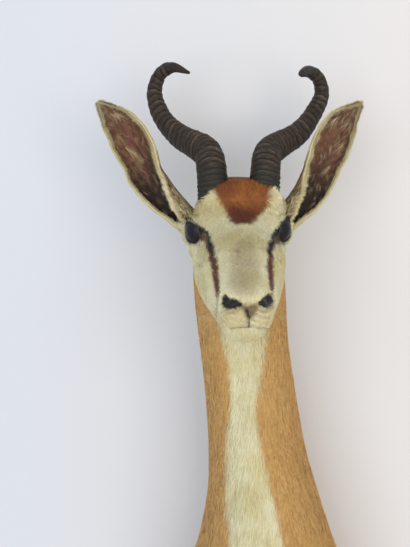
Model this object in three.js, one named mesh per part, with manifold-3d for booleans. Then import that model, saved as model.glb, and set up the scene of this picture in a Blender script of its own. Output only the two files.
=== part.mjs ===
// A springbok's head, neck and chest, stuffed and mounted for a wall. Millimetres, +Z up.
// The wall is the plane y = 0 and the animal looks along -Y; +X is to the right of someone facing it.
// The origin is the middle of the back board's wall face.
import * as THREE from 'three';
import { mergeVertices } from 'three/addons/utils/BufferGeometryUtils.js';
import Module from 'manifold-3d';

// Driving dimensions
const GAP = 0.3; // left between pieces that touch
const HEAD_ORIGIN = new THREE.Vector3(-41.5, -207, 438); // forehead, midway between the horns' fronts
const HEAD_TILT = 40; // degrees that the face line falls below level
const HEAD_TURN = 2.2; // degrees that the head looks to the right
const EYE_RADIUS = 16.5;
const EYE_BACK = 6; // from the ball's centre to the flat back of the glass
const LID = { radius: 21.5, inset: 8 }; // swelling of skin round an eye, centred behind the ball
const NOSTRIL = { along: 166, apart: 18, out: -10, size: [9, 8, 6.5] };
const HORN_RINGS = 33;
const HORN_SEAT = 20; // length of horn set into the skin
const BOARD_HALF_WIDTH = 64;
const BOARD_HALF_HEIGHT = 118;
const BOARD_THICKNESS = 16;
const POCKET = { width: 36, height: 46, depth: 13, middle: 60 };
const STRAP = { width: 72, height: 14, thickness: 2, middle: 72 };
const SCREW = { spacing: 54, headRadius: 3.6, shankRadius: 1.7, headHeight: 1.7, length: 12 };
const HARDWARE_FACE = -0.2; // strap and screw heads end this far short of the wall's plane
const WALL_BLOCK = { width: 600, depth: 200, height: 900 }; // larger than all that it cuts off
const CUT_PAST = 1; // how far a cut in the back starts behind the wall's plane

// Neck and chest, from the chest's lowest point up into the head. Each row is a level section:
// height, middle x, half width, front y, back y. A back beyond 0 is cut off flat at the wall.
const NECK_SECTIONS = [
  [-182, 0, 14, -16, 40],
  [-176, 0, 44, -60, 60],
  [-156, 0, 80, -124, 70],
  [-118, 0, 106, -184, 72],
  [-66, 0, 112, -218, 70],
  [-16, -1, 100, -226, 66],
  [34, -3.5, 82, -217, 58],
  [92, -8, 67.5, -204, 40],
  [146, -15.5, 59, -193, 4],
  [200, -22.5, 55, -186, -28],
  [242, -28, 53.5, -184, -46],
  [280, -33, 53, -186, -60],
  [325, -37, 54, -191, -74],
  [375, -40, 52, -196, -100],
  [412, -41, 44, -190, -124],
  [436, -41, 26, -178, -146],
];
const NECK_STEPS = 24;
const NECK_SIDES = 28;
const WIDEST_AT = 0.58; // share of the depth, from the front, where a neck section is widest
const NECK_FULLNESS = 2.25; // power of the section's oval: 2 is an ellipse, and more is squarer

// Head, along the face from behind the horns to the nose. Each row is a section square to the face
// line: distance from the origin, top, bottom, half width, height of the widest place.
const HEAD_SECTIONS = [
  [-47, -30, -84, 24, -58],
  [-39, -8, -96, 36, -54],
  [-26, 9, -104, 45, -48],
  [-8, 11, -106, 50, -42],
  [12, 7, -104, 52, -38],
  [34, 0, -99, 52, -40],
  [58, -2, -92, 50, -48],
  [84, -3, -85, 46.5, -54],
  [108, -3, -78, 41, -52],
  [132, -2, -71, 34.5, -44],
  [150, -1, -68, 30, -36],
  [161, -2, -64, 27, -32],
  [167, -6, -58, 22.5, -30],
  [171, -14, -48, 14, -30],
];
const HEAD_STEPS = 24;
const HEAD_SIDES = 24;
const BROW_FULLNESS = 2.5;
const JAW_FULLNESS = 2.1;
const CREST = { back: 6, up: -2, size: [38, 15, 20] }; // mound of forehead hair before the horns' bases

// Each eye: its side, where its ball's middle is in the face's directions, and where it looks.
const EYES = [
  { side: -1, along: 24, out: -27, apart: 41.5 },
  { side: 1, along: 24, out: -25, apart: 40.5 },
];
const EYE_LOOK = { along: 0.3, side: 0.9, out: 0.3 };

// Horns, in the head's level frame: to the side, back and up from the head's origin. Each path runs
// from the brow up and back, out, and in again at the hooked tip.
const HORN_LEFT_PATH = [
  [-27.5, 13, 10], [-29, 21, 36], [-32, 35, 51.5], [-44, 55, 62.5], [-65, 86, 79],
  [-84, 108, 104], [-92.5, 119, 134], [-86, 114, 154.5], [-72, 99, 160], [-52, 75, 149.5],
];
const HORN_RIGHT_PATH = [
  [29.5, 12, 10], [31.5, 19, 36], [35, 32, 51], [49, 52, 62.5], [75, 77, 80],
  [96, 101, 107], [108, 112, 133], [103, 106, 149.5], [90, 92, 155], [76, 70, 148],
];
// Half width of a horn along its length, as share of length and radius. The left horn runs out to a
// fine tip, and the right one's tip is worn blunt.
const HORN_RADII = [[0, 16.6], [0.14, 16.4], [0.3, 14.4], [0.46, 12.2], [0.6, 10], [0.74, 8.4]];
const FINE_TIP = [[0.86, 6.4], [0.95, 3.6], [1, 1.5]];
const BLUNT_TIP = [[0.86, 7], [0.94, 5.6], [0.98, 4], [1, 2]];
// Number of rings up to a share of a horn's length: close together at the head, wider further up.
const RING_PLACES = [[0, 0], [4, 0.07], [13, 0.25], [27, 0.7], [HORN_RINGS, 0.9]];
const RING_HEIGHT = 0.1; // ridge height as a share of the radius
const RING_PROFILE = [[0.1, 0], [0.72, 1]]; // share of a ring's length and of its height: valley, crest
const SMOOTH_SHARES = [0.9, 0.93, 0.96, 0.985, 1]; // sections of the ringless end
const HORN_HOLE_SHARES = [0, 0.04, 0.08, 0.12, 0.16]; // sections of the hole that a horn stands in
const HORN_SIDES = 12;
const HORN_DEPTH_RATIO = 1.14; // fore-and-aft size over width

// Ears, in the same frame: middle line from the root to the tip.
const EAR_LEFT_PATH = [
  [-44, 42, -34], [-72, 47, -8], [-89, 52, 9], [-103, 56, 28],
  [-113, 58, 52], [-131, 61, 81], [-156, 64, 112.5],
];
const EAR_RIGHT_PATH = [
  [44, 42, -36], [68, 46, -12], [86, 52, 7], [98, 55, 28],
  [109, 58, 57.5], [121, 60, 89], [145, 62, 112.5],
];
// Where a cup opens to, at the root and at the tip, for the left ear; the right ear's are mirrored.
const EAR_OPENS = [[-0.75, -0.65, 0], [-0.15, -1, 0]];
// Along an ear: share of length, half width, depth of the cup, half opening angle in degrees.
const EAR_SECTIONS = [
  [0, 15, 13, 150],
  [0.2, 16.5, 15, 140],
  [0.34, 17, 17, 128],
  [0.46, 18.5, 18, 114],
  [0.6, 22, 17, 102],
  [0.7, 22.5, 15, 96],
  [0.8, 19.5, 11.5, 92],
  [0.9, 12.5, 7, 88],
  [1, 2.2, 2.2, 86],
];
const EAR_STEPS = 11;
const EAR_ARC = 9; // points across an ear, on each of its faces
const EAR_WALL = 5;
const EAR_WALL_SHARE = 0.42; // most that the wall may take of a small section's half width or depth

const wasm = await Module();
wasm.setup();

const radians = THREE.MathUtils.degToRad;
const turn = radians(HEAD_TURN);
const tilt = radians(HEAD_TILT);
const HEAD_RIGHT = new THREE.Vector3(Math.cos(turn), Math.sin(turn), 0);
const HEAD_BACK = new THREE.Vector3(-Math.sin(turn), Math.cos(turn), 0);
const UP = new THREE.Vector3(0, 0, 1);
const ALONG_FACE = HEAD_BACK.clone()
  .multiplyScalar(-Math.cos(tilt))
  .addScaledVector(UP, -Math.sin(tilt));
const OUT_OF_FACE = HEAD_BACK.clone()
  .multiplyScalar(-Math.sin(tilt))
  .addScaledVector(UP, Math.cos(tilt));

// A point by its distance along the face, to the side, and out of the face.
function facePoint(along, side, out) {
  return HEAD_ORIGIN.clone()
    .addScaledVector(ALONG_FACE, along)
    .addScaledVector(HEAD_RIGHT, side)
    .addScaledVector(OUT_OF_FACE, out);
}

// A point by its distance to the side, back and up in the head's level frame.
function headPoint([side, back, up]) {
  return HEAD_ORIGIN.clone()
    .addScaledVector(HEAD_RIGHT, side)
    .addScaledVector(HEAD_BACK, back)
    .addScaledVector(UP, up);
}

// Reads a table smoothly between its rows; the first column is the place.
function tableCurve(table) {
  const places = table.map((row) => row[0]);
  const values = table.flatMap((row) => row.slice(1));
  const curve = new THREE.CubicInterpolant(places, values, table[0].length - 1);
  return (place) => curve.evaluate(place);
}

function smoothRows(table, steps) {
  const read = tableCurve(table);
  return Array.from({ length: steps + 1 }, (_, i) => {
    const place = THREE.MathUtils.lerp(table[0][0], table.at(-1)[0], i / steps);
    return [place, ...read(place)];
  });
}

// A closed skin over rings of equally many points. Each end is closed by a ladder of faces across
// the ring, which also suits a ring bent like a C.
function skin(rings) {
  const count = rings[0].length;
  const at = (ring, i) => ring * count + (i % count);
  const faces = [];
  for (let ring = 0; ring + 1 < rings.length; ring++) {
    for (let i = 0; i < count; i++) {
      faces.push(at(ring, i), at(ring, i + 1), at(ring + 1, i + 1));
      faces.push(at(ring, i), at(ring + 1, i + 1), at(ring + 1, i));
    }
  }
  for (let i = 0; i + 1 < count / 2; i++) {
    const [a, b, c, d] = [i, i + 1, count - 2 - i, count - 1 - i];
    const last = rings.length - 1;
    faces.push(at(last, a), at(last, b), at(last, c));
    if (c !== b) faces.push(at(last, a), at(last, c), at(last, d));
    faces.push(at(0, c), at(0, b), at(0, a));
    if (c !== b) faces.push(at(0, d), at(0, c), at(0, a));
  }
  const geometry = new THREE.BufferGeometry();
  const positions = rings.flat().flatMap((p) => [p.x, p.y, p.z]);
  geometry.setAttribute('position', new THREE.Float32BufferAttribute(positions, 3));
  geometry.setIndex(faces);
  return facingOut(geometry);
}

// Turns every face of a closed mesh round if the volume that they enclose comes out negative.
function facingOut(geometry) {
  const position = geometry.attributes.position;
  const index = geometry.index.array;
  const [a, b, c] = [new THREE.Vector3(), new THREE.Vector3(), new THREE.Vector3()];
  let volume = 0;
  for (let i = 0; i < index.length; i += 3) {
    a.fromBufferAttribute(position, index[i]);
    b.fromBufferAttribute(position, index[i + 1]);
    c.fromBufferAttribute(position, index[i + 2]);
    volume += a.dot(b.cross(c));
  }
  if (volume < 0) geometry.setIndex(Array.from(index).reverse());
  return geometry;
}

function toSolid(geometry) {
  const bare = geometry.clone();
  bare.deleteAttribute('normal');
  bare.deleteAttribute('uv');
  const merged = mergeVertices(bare, 1e-4);
  return new wasm.Manifold(new wasm.Mesh({
    numProp: 3,
    vertProperties: new Float32Array(merged.attributes.position.array),
    triVerts: new Uint32Array(merged.index.array),
  }));
}

function toGeometry(solid) {
  const mesh = solid.getMesh();
  const geometry = new THREE.BufferGeometry();
  geometry.setAttribute('position', new THREE.BufferAttribute(mesh.vertProperties, 3));
  geometry.setIndex(new THREE.BufferAttribute(mesh.triVerts, 1));
  geometry.computeVertexNormals();
  return geometry;
}

// Level section of the neck: an oval that is fuller at its sides than an ellipse.
function neckRing([height, middle, halfWidth, front, back]) {
  const widest = THREE.MathUtils.lerp(front, back, WIDEST_AT);
  return Array.from({ length: NECK_SIDES }, (_, i) => {
    const angle = (2 * Math.PI * (i + 0.5)) / NECK_SIDES;
    const [across, depth] = fullOval(angle, NECK_FULLNESS);
    const y = widest + depth * (depth < 0 ? widest - front : back - widest);
    return new THREE.Vector3(middle + halfWidth * across, y, height);
  });
}

// Section of the head, square to the face line: flat on top and narrower towards the jaw.
function headRing([along, top, bottom, halfWidth, widest]) {
  return Array.from({ length: HEAD_SIDES }, (_, i) => {
    const angle = (2 * Math.PI * (i + 0.5)) / HEAD_SIDES;
    const [across, rise] = fullOval(angle, Math.sin(angle) > 0 ? BROW_FULLNESS : JAW_FULLNESS);
    const reach = rise > 0 ? top - widest : widest - bottom;
    return facePoint(along, halfWidth * across, widest + rise * reach);
  });
}

// A point of the oval |x|^power + |y|^power = 1, at an angle from x.
function fullOval(angle, power) {
  const [c, s] = [Math.cos(angle), Math.sin(angle)];
  const reach = (Math.abs(c) ** power + Math.abs(s) ** power) ** (-1 / power);
  return [c * reach, s * reach];
}

// Frames along a path: its point, its direction, and two directions across it. The first of these
// is the nearest square one to a given direction, which may swing from the root to the tip.
function framesAlong(path, shares, atRoot, atTip = atRoot) {
  const curve = new THREE.CatmullRomCurve3(path.map(headPoint), false, 'centripetal');
  return shares.map((share) => {
    const point = curve.getPointAt(share);
    const direction = curve.getTangentAt(share);
    const side = atRoot.clone().lerp(atTip, share);
    side.addScaledVector(direction, -side.dot(direction)).normalize();
    return { point, side, other: direction.clone().cross(side) };
  });
}

// An ear: a cup that opens forwards, with a wall of even thickness that thins out at the rim.
function ear(path, mirror) {
  const rows = smoothRows(EAR_SECTIONS, EAR_STEPS);
  const opens = EAR_OPENS.map(([side, back, up]) => new THREE.Vector3(side * mirror, back, up));
  const frames = framesAlong(path, rows.map((row) => row[0]), ...opens);
  const rings = rows.map(([, halfWidth, depth, halfAngle], k) => {
    const { point, side, other } = frames[k];
    const face = (inset) => Array.from({ length: EAR_ARC }, (_, i) => {
      const angle = radians(halfAngle) * ((2 * i) / (EAR_ARC - 1) - 1);
      const wall = Math.min(inset, EAR_WALL_SHARE * halfWidth, EAR_WALL_SHARE * depth);
      return point.clone()
        .addScaledVector(other, (halfWidth - wall) * Math.sin(angle))
        .addScaledVector(side, -(depth - wall) * Math.cos(angle));
    });
    return [...face(0), ...face(EAR_WALL).reverse()];
  });
  return toSolid(skin(rings));
}

function hornRadius(share, tip) {
  const rows = [...HORN_RADII, ...tip];
  const next = Math.max(rows.findIndex(([place]) => place >= share), 1);
  const [[from, low], [to, high]] = [rows[next - 1], rows[next]];
  return THREE.MathUtils.lerp(low, high, (share - from) / (to - from));
}

// Sections of a horn as share of length and swelling: each ring rises slowly from its lower side
// and ends in a short step.
function hornShares() {
  const shares = [];
  const place = tableCurve(RING_PLACES);
  for (let ring = 0; ring < HORN_RINGS; ring++) {
    for (const [part, swell] of RING_PROFILE) shares.push([place(ring + part)[0], swell]);
  }
  for (const share of SMOOTH_SHARES) shares.push([share, 0]);
  return shares;
}

// A horn: oval sections square to its path, swollen at each ring.
function horn(path, tip) {
  const shares = hornShares();
  const frames = framesAlong(seated(path), shares.map(([share]) => share), HEAD_RIGHT);
  const size = ([share, swell]) => hornRadius(share, tip) * (1 + RING_HEIGHT * swell);
  return skin(shares.map((row, k) => hornSection(frames[k], size(row))));
}

function hornSection({ point, side, other }, radius) {
  return Array.from({ length: HORN_SIDES }, (_, i) => {
    const angle = (2 * Math.PI * i) / HORN_SIDES;
    return point.clone()
      .addScaledVector(side, radius * Math.cos(angle))
      .addScaledVector(other, HORN_DEPTH_RATIO * radius * Math.sin(angle));
  });
}

// The path of a horn with its seat in the skin added straight below the first point.
function seated(path) {
  const [side, back, up] = path[0];
  return [[side, back, up - HORN_SEAT], ...path];
}

// The hole that a horn stands in: its lowest stretch, a gap wider and deeper all round.
function hornHole(path) {
  const frames = framesAlong(seated(path), HORN_HOLE_SHARES, HEAD_RIGHT);
  const start = frames[0];
  start.point.addScaledVector(frames[1].point.clone().sub(start.point).normalize(), -GAP);
  const size = (share) => hornRadius(share, FINE_TIP) * (1 + RING_HEIGHT) + 2 * GAP;
  return toSolid(skin(HORN_HOLE_SHARES.map((share, k) => hornSection(frames[k], size(share)))));
}

// A glass eye: a ball's front, closed by a flat back, looking along +Y of the lathe.
function eyeGeometry(spare) {
  const radius = EYE_RADIUS + spare;
  const back = -EYE_BACK - spare;
  const rim = Math.acos(back / radius);
  const profile = [new THREE.Vector2(0, back)];
  for (let i = 0; i <= 8; i++) {
    const angle = rim * (1 - i / 8);
    profile.push(new THREE.Vector2(radius * Math.sin(angle), radius * Math.cos(angle)));
  }
  profile.at(-1).x = 0;
  return new THREE.LatheGeometry(profile, 20);
}

function eyePlacement({ side, along, out, apart }) {
  const middle = facePoint(along, side * apart, out);
  const ahead = facePoint(EYE_LOOK.along, side * EYE_LOOK.side, EYE_LOOK.out);
  const look = ahead.sub(HEAD_ORIGIN).normalize();
  const turned = new THREE.Quaternion().setFromUnitVectors(new THREE.Vector3(0, 1, 0), look);
  return { middle, look, turned };
}

// The mound of thick hair across the forehead, which half hides the horns' bases.
function crest() {
  const mound = new THREE.SphereGeometry(1, 18, 12);
  mound.scale(...CREST.size);
  mound.rotateZ(turn);
  const middle = headPoint([0, CREST.back, CREST.up]);
  mound.translate(middle.x, middle.y, middle.z);
  return toSolid(mound);
}

// The swelling of skin round an eye, which leaves the front of the ball bare.
function lidSolid(eye) {
  const { middle, look } = eyePlacement(eye);
  const lid = new THREE.SphereGeometry(LID.radius, 18, 12);
  const centre = middle.clone().addScaledVector(look, -LID.inset);
  lid.translate(centre.x, centre.y, centre.z);
  return toSolid(lid);
}

function eyeHole(eye) {
  const { middle, turned } = eyePlacement(eye);
  const hole = eyeGeometry(GAP).applyQuaternion(turned);
  hole.translate(middle.x, middle.y, middle.z);
  return toSolid(hole);
}

// The hollow of a nostril, at the upper corner of the nose.
function nostril(side) {
  const { along, apart, out, size } = NOSTRIL;
  const hollow = new THREE.SphereGeometry(1, 10, 8);
  hollow.scale(...size);
  hollow.rotateX(tilt);
  const middle = facePoint(along, side * apart, out);
  hollow.translate(middle.x, middle.y, middle.z);
  return toSolid(hollow);
}

// Upright extrusions: an outline in x and z, from one depth behind the wall face to another.
function plate(shape, nearWall, deep, curveSegments = 24) {
  const geometry = new THREE.ExtrudeGeometry(shape, {
    depth: deep - nearWall, bevelEnabled: false, curveSegments,
  });
  geometry.rotateX(Math.PI / 2);
  geometry.translate(0, -nearWall, 0);
  return geometry;
}

function ovalShape(halfWidth, halfHeight) {
  return new THREE.Shape().absellipse(0, 0, halfWidth, halfHeight, 0, 2 * Math.PI);
}

function rectangle(width, height, middle) {
  const [x, low, high] = [width / 2, middle - height / 2, middle + height / 2];
  const corners = [[-x, low], [x, low], [x, high], [-x, high]];
  return new THREE.Shape(corners.map(([across, up]) => new THREE.Vector2(across, up)));
}

// A screw with a flush conical head, looking out of the wall face along +Y.
function screwGeometry(spare) {
  const { headRadius, shankRadius, headHeight, length } = SCREW;
  const profile = [
    [0, -length - spare],
    [shankRadius + spare, -length - spare],
    [shankRadius + spare, -headHeight],
    [headRadius + spare, 0],
    [0, 0],
  ];
  return new THREE.LatheGeometry(profile.map(([r, y]) => new THREE.Vector2(r, y)), 12);
}

const screwPlace = (side) => new THREE.Vector3((side * SCREW.spacing) / 2, HARDWARE_FACE, STRAP.middle);

function screwHole(side) {
  const hole = screwGeometry(GAP);
  hole.translate(...screwPlace(side).toArray());
  return toSolid(hole);
}

// Everything behind the wall's plane, as a block that is larger than the chest.
function behindWall() {
  const { width, depth, height } = WALL_BLOCK;
  const block = new THREE.BoxGeometry(width, depth, height);
  block.translate(0, depth / 2, 0);
  return toSolid(block);
}

const sides = [-1, 1];
const screwHoles = sides.map(screwHole);

// Skin over its form: neck and chest, head, lids and ears in one, less what is set into it.
function cape() {
  let body = toSolid(skin(smoothRows(NECK_SECTIONS, NECK_STEPS).map(neckRing)));
  body = body.subtract(behindWall());
  body = body.add(toSolid(skin(smoothRows(HEAD_SECTIONS, HEAD_STEPS).map(headRing))));
  body = body.add(crest());
  for (const eye of EYES) body = body.add(lidSolid(eye));
  body = body.add(ear(EAR_LEFT_PATH, 1)).add(ear(EAR_RIGHT_PATH, -1));
  for (const eye of EYES) body = body.subtract(eyeHole(eye));
  for (const side of sides) body = body.subtract(nostril(side));
  body = body.subtract(hornHole(HORN_LEFT_PATH)).subtract(hornHole(HORN_RIGHT_PATH));
  const recess = ovalShape(BOARD_HALF_WIDTH + GAP, BOARD_HALF_HEIGHT + GAP);
  return toGeometry(body.subtract(toSolid(plate(recess, -CUT_PAST, BOARD_THICKNESS + GAP))));
}

function backboard() {
  let board = toSolid(plate(ovalShape(BOARD_HALF_WIDTH, BOARD_HALF_HEIGHT), 0, BOARD_THICKNESS));
  const pocket = rectangle(POCKET.width, POCKET.height, POCKET.middle);
  board = board.subtract(toSolid(plate(pocket, -CUT_PAST, POCKET.depth)));
  const seat = rectangle(STRAP.width + 2 * GAP, STRAP.height + 2 * GAP, STRAP.middle);
  board = board.subtract(toSolid(plate(seat, -CUT_PAST, STRAP.thickness - HARDWARE_FACE + GAP)));
  for (const hole of screwHoles) board = board.subtract(hole);
  return toGeometry(board);
}

function hangerStrap() {
  const outline = rectangle(STRAP.width, STRAP.height, STRAP.middle);
  let strap = toSolid(plate(outline, -HARDWARE_FACE, STRAP.thickness - HARDWARE_FACE));
  for (const hole of screwHoles) strap = strap.subtract(hole);
  return toGeometry(strap);
}

const mount = new THREE.Group();

function finish(color, roughness, metalness = 0) {
  return new THREE.MeshStandardMaterial({ color, roughness, metalness });
}

function addPiece(name, geometry, material) {
  const piece = new THREE.Mesh(geometry, material);
  piece.name = name;
  mount.add(piece);
  return piece;
}

addPiece('cape', cape(), finish('#c9ab78', 0.9));
addPiece('horn_left', horn(HORN_LEFT_PATH, FINE_TIP), finish('#3a322c', 0.55));
addPiece('horn_right', horn(HORN_RIGHT_PATH, BLUNT_TIP), finish('#3a322c', 0.55));

for (const [name, eye] of [['eye_left', EYES[0]], ['eye_right', EYES[1]]]) {
  const { middle, turned } = eyePlacement(eye);
  const ball = addPiece(name, eyeGeometry(0), finish('#120d0a', 0.08));
  ball.position.copy(middle);
  ball.quaternion.copy(turned);
}

addPiece('backboard', backboard(), finish('#b08d5e', 0.7));
addPiece('hanger_strap', hangerStrap(), finish('#9a9c9e', 0.35, 1));

for (const [name, side] of [['strap_screw_left', -1], ['strap_screw_right', 1]]) {
  const screw = addPiece(name, screwGeometry(0), finish('#8d8f90', 0.3, 1));
  screw.position.copy(screwPlace(side));
}

export default mount;
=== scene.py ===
"""Looks of a stuffed springbok head, neck and chest on a wall. Lengths are millimetres until a mesh is
made."""

import math

import bpy
import numpy as np
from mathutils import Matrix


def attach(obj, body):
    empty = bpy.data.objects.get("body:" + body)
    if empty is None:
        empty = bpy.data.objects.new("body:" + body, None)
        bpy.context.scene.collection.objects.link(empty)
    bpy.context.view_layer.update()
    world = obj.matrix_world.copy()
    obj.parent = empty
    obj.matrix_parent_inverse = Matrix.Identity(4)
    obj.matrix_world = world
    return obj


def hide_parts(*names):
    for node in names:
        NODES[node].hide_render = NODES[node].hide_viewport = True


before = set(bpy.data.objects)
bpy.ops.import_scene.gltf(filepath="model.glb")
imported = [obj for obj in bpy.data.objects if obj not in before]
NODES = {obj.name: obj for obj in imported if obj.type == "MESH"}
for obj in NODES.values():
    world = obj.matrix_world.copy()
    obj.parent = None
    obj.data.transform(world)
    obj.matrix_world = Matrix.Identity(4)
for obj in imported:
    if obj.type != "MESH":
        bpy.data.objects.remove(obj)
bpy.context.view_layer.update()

# The camera looks level along +Y at the animal's chin and fills a frame of 410 by 547 pixels
EYE_POINT = np.array([-78.0, -1315.0, 355.0])
FRAME_HEIGHT = 547
FRAME_MIDDLE = (205.0, 273.5)
FOCAL_PIXELS = 1020.0

camera = bpy.data.objects.new("camera", bpy.data.cameras.new("camera"))
camera.location = EYE_POINT / 1000
camera.rotation_euler = (math.pi / 2, 0, 0)
camera.data.lens = camera.data.sensor_width * FOCAL_PIXELS / FRAME_HEIGHT
camera.data.clip_start = 0.05
bpy.context.scene.collection.objects.link(camera)
bpy.context.scene.camera = camera

# Shape of the mount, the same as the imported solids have
HEAD_ORIGIN = np.array([-41.5, -207.0, 438.0])
HEAD_TILT = math.radians(40)
HEAD_TURN = math.radians(2.2)
RIGHT = np.array([math.cos(HEAD_TURN), math.sin(HEAD_TURN), 0.0])
BACK = np.array([-math.sin(HEAD_TURN), math.cos(HEAD_TURN), 0.0])
UP = np.array([0.0, 0.0, 1.0])
ALONG = -math.cos(HEAD_TILT) * BACK - math.sin(HEAD_TILT) * UP
OUT = -math.sin(HEAD_TILT) * BACK + math.cos(HEAD_TILT) * UP

# Level sections of neck and chest: height, middle x, half width, front y, back y
NECK_SECTIONS = np.array([
    [-182, 0, 14, -16, 40], [-176, 0, 44, -60, 60], [-156, 0, 80, -124, 70], [-118, 0, 106, -184, 72],
    [-66, 0, 112, -218, 70], [-16, -1, 100, -226, 66], [34, -3.5, 82, -217, 58], [92, -8, 67.5, -204, 40],
    [146, -15.5, 59, -193, 4], [200, -22.5, 55, -186, -28], [242, -28, 53.5, -184, -46],
    [280, -33, 53, -186, -60], [325, -37, 54, -191, -74], [375, -40, 52, -196, -100],
    [412, -41, 44, -190, -124], [436, -41, 26, -178, -146],
])
WIDEST_AT = 0.58
WALL_GAP = 0.3
NECK_FULLNESS = 2.25
# Sections of the head square to the face line: distance along it, top, bottom, half width, widest place
HEAD_SECTIONS = np.array([
    [-47, -30, -84, 24, -58], [-39, -8, -96, 36, -54], [-26, 9, -104, 45, -48], [-8, 11, -106, 50, -42],
    [12, 7, -104, 52, -38], [34, 0, -99, 52, -40], [58, -2, -92, 50, -48], [84, -3, -85, 46.5, -54],
    [108, -3, -78, 41, -52], [132, -2, -71, 34.5, -44], [150, -1, -68, 30, -36], [161, -2, -64, 27, -32],
    [167, -6, -58, 22.5, -30], [171, -14, -48, 14, -30],
])
BROW_FULLNESS = 2.5
JAW_FULLNESS = 2.1
# Mounds, by place and half size to the side, back and up from the head's origin: the crest between the
# horns, then the raised hair before the horns' bases, and the fill of the skin behind the eyes
CREST_PLACE = (0, 6, -2)
CREST_SIZE = (38, 15, 20)
MOUNDS = [
    ((29, -1, -7), (19, 11, 21)), ((-19, -1, -7), (18, 11, 21)), ((4, -3, -6), (34, 10, 24)),
    ((42, 9, -11), (10, 16, 14)), ((-37, 12, -12), (9.5, 16, 13)),
    ((50, 17, -37), (11, 14, 15)), ((-50.5, 17, -38), (11, 14, 15)),
    ((43.5, 15, -55), (9.5, 14, 15)), ((-44, 15, -55), (9.5, 14, 15)),
]
EYE_RADIUS = 16.5
# An eye's side, its place along the face and out of it, and its distance from the face's middle
EYES = {"left": (-1, 24, -27, 41.5), "right": (1, 24, -25, 40.5)}
# Where it looks: along the face, to its side and out of the face
EYE_LOOK = (0.3, 0.9, 0.3)
# Middle lines of horns and ears, by places to the side, back and up from the head's origin
HORN_PATHS = {
    "left": [(-27.5, 13, 10), (-29, 21, 36), (-32, 35, 51.5), (-44, 55, 62.5), (-65, 86, 79),
             (-84, 108, 104), (-92.5, 119, 134), (-86, 114, 154.5), (-72, 99, 160), (-52, 75, 149.5)],
    "right": [(29.5, 12, 10), (31.5, 19, 36), (35, 32, 51), (49, 52, 62.5), (75, 77, 80),
              (96, 101, 107), (108, 112, 133), (103, 106, 149.5), (90, 92, 155), (76, 70, 148)],
}
HORN_SEAT = 20  # how far a horn goes down into the skin
# Along a horn: share of its length, radius; the last rows differ from one horn to the other
HORN_RADII = [(0, 16.6), (0.14, 16.4), (0.3, 14.4), (0.46, 12.2), (0.6, 10), (0.74, 8.4)]
HORN_TIPS = {
    "left": [(0.86, 6.4), (0.95, 3.6), (1, 1.5)],
    "right": [(0.86, 7), (0.94, 5.6), (0.98, 4), (1, 2)],
}
# Along a horn: share of its length, rings below that place
RING_PLACES = np.array([[0, 0], [0.07, 4], [0.25, 13], [0.7, 27], [0.9, 33]])
HORN_DEPTH_RATIO = 1.14
EAR_PATHS = {
    "left": [(-44, 42, -34), (-72, 47, -8), (-89, 52, 9), (-103, 56, 28), (-113, 58, 52), (-131, 61, 81),
             (-156, 64, 112.5)],
    "right": [(44, 42, -36), (68, 46, -12), (86, 52, 7), (98, 55, 28), (109, 58, 57.5), (121, 60, 89),
              (145, 62, 112.5)],
}
# The way that the left ear's cup opens at its root and at its tip: to the side, back and up
EAR_OPENS = ((-0.75, -0.65, 0), (-0.15, -1, 0))
# Along an ear: share of length, half width and depth of the cup
EAR_SECTIONS = np.array([
    [0, 15, 13], [0.2, 17.5, 15.5], [0.34, 20.5, 18], [0.46, 22, 18.5], [0.6, 24.5, 17.5], [0.7, 24.5, 15],
    [0.8, 21.5, 11.5], [0.9, 14, 7], [1, 2.2, 2.2],
])
# Along an ear: share of length, degrees from its back to the rim next to the horn, and to the outer rim
EAR_RIMS = np.array([
    [0, 172, 150], [0.1, 166, 144], [0.16, 156, 128], [0.22, 140, 120], [0.28, 122, 116], [0.35, 102, 112],
    [0.42, 90, 106], [0.5, 86, 98], [0.7, 87, 94], [0.9, 87, 89], [1, 86, 86],
])
# Along each ear: how far its middle line is pushed towards the horn
EAR_SHIFTS = {
    "left": ([0, 0.3, 0.5, 0.65, 0.8, 0.9, 1], [0, 0.8, 0.8, 2, 3, 2, 0]),
    "right": ([0, 0.3, 0.5, 0.65, 0.85, 1], [0, 1.6, 2, 0.4, -2.6, 0]),
}

# Coat pattern on the front, as outlines in the frame's pixels
WHITE_FACE = [
    (184, 226), (183, 241), (188, 250), (191, 258), (193, 270), (194, 285), (196, 300), (201, 311),
    (207, 320), (213, 327), (221, 333), (226, 341), (236, 346), (252, 346), (262, 342), (267, 334),
    (274, 326), (279, 320), (283, 312), (285, 303), (286.5, 290), (286, 270), (287, 253), (293, 247),
    (294, 236), (298, 222), (294, 208), (285, 196), (276, 184), (262, 176), (249, 174), (229, 174),
    (212, 180), (198, 192), (186, 200), (176, 210),
]
WHITE_THROAT = [
    (219, 322), (225, 348), (229, 360), (230, 375), (231, 390), (231, 405), (229, 420), (226, 440),
    (226, 455), (227, 470), (226, 490), (227, 505), (230, 520), (232, 547), (235, 590), (236, 640),
    (228, 760), (306, 760), (294, 640), (289, 590), (283, 547), (280, 530), (277, 515), (274, 500),
    (269, 480), (266, 465), (262, 450), (259, 435), (256, 420), (255, 405), (256, 395), (259, 380),
    (262, 365), (264, 352), (268, 322),
]
FOREHEAD_PATCH = [
    (206, 187), (213, 190), (217, 196), (221, 203), (226, 210), (231, 219), (236, 222.5), (250, 222),
    (255, 218.5), (260, 213), (265, 208), (267.5, 200), (269, 192), (273, 185), (280, 180), (276, 172),
    (249, 168), (212, 172),
]
PATCH_FRINGE = [
    (226, 208), (233, 205), (243, 208), (252, 206), (258, 208), (256, 218), (248, 226), (234, 225),
]
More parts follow.
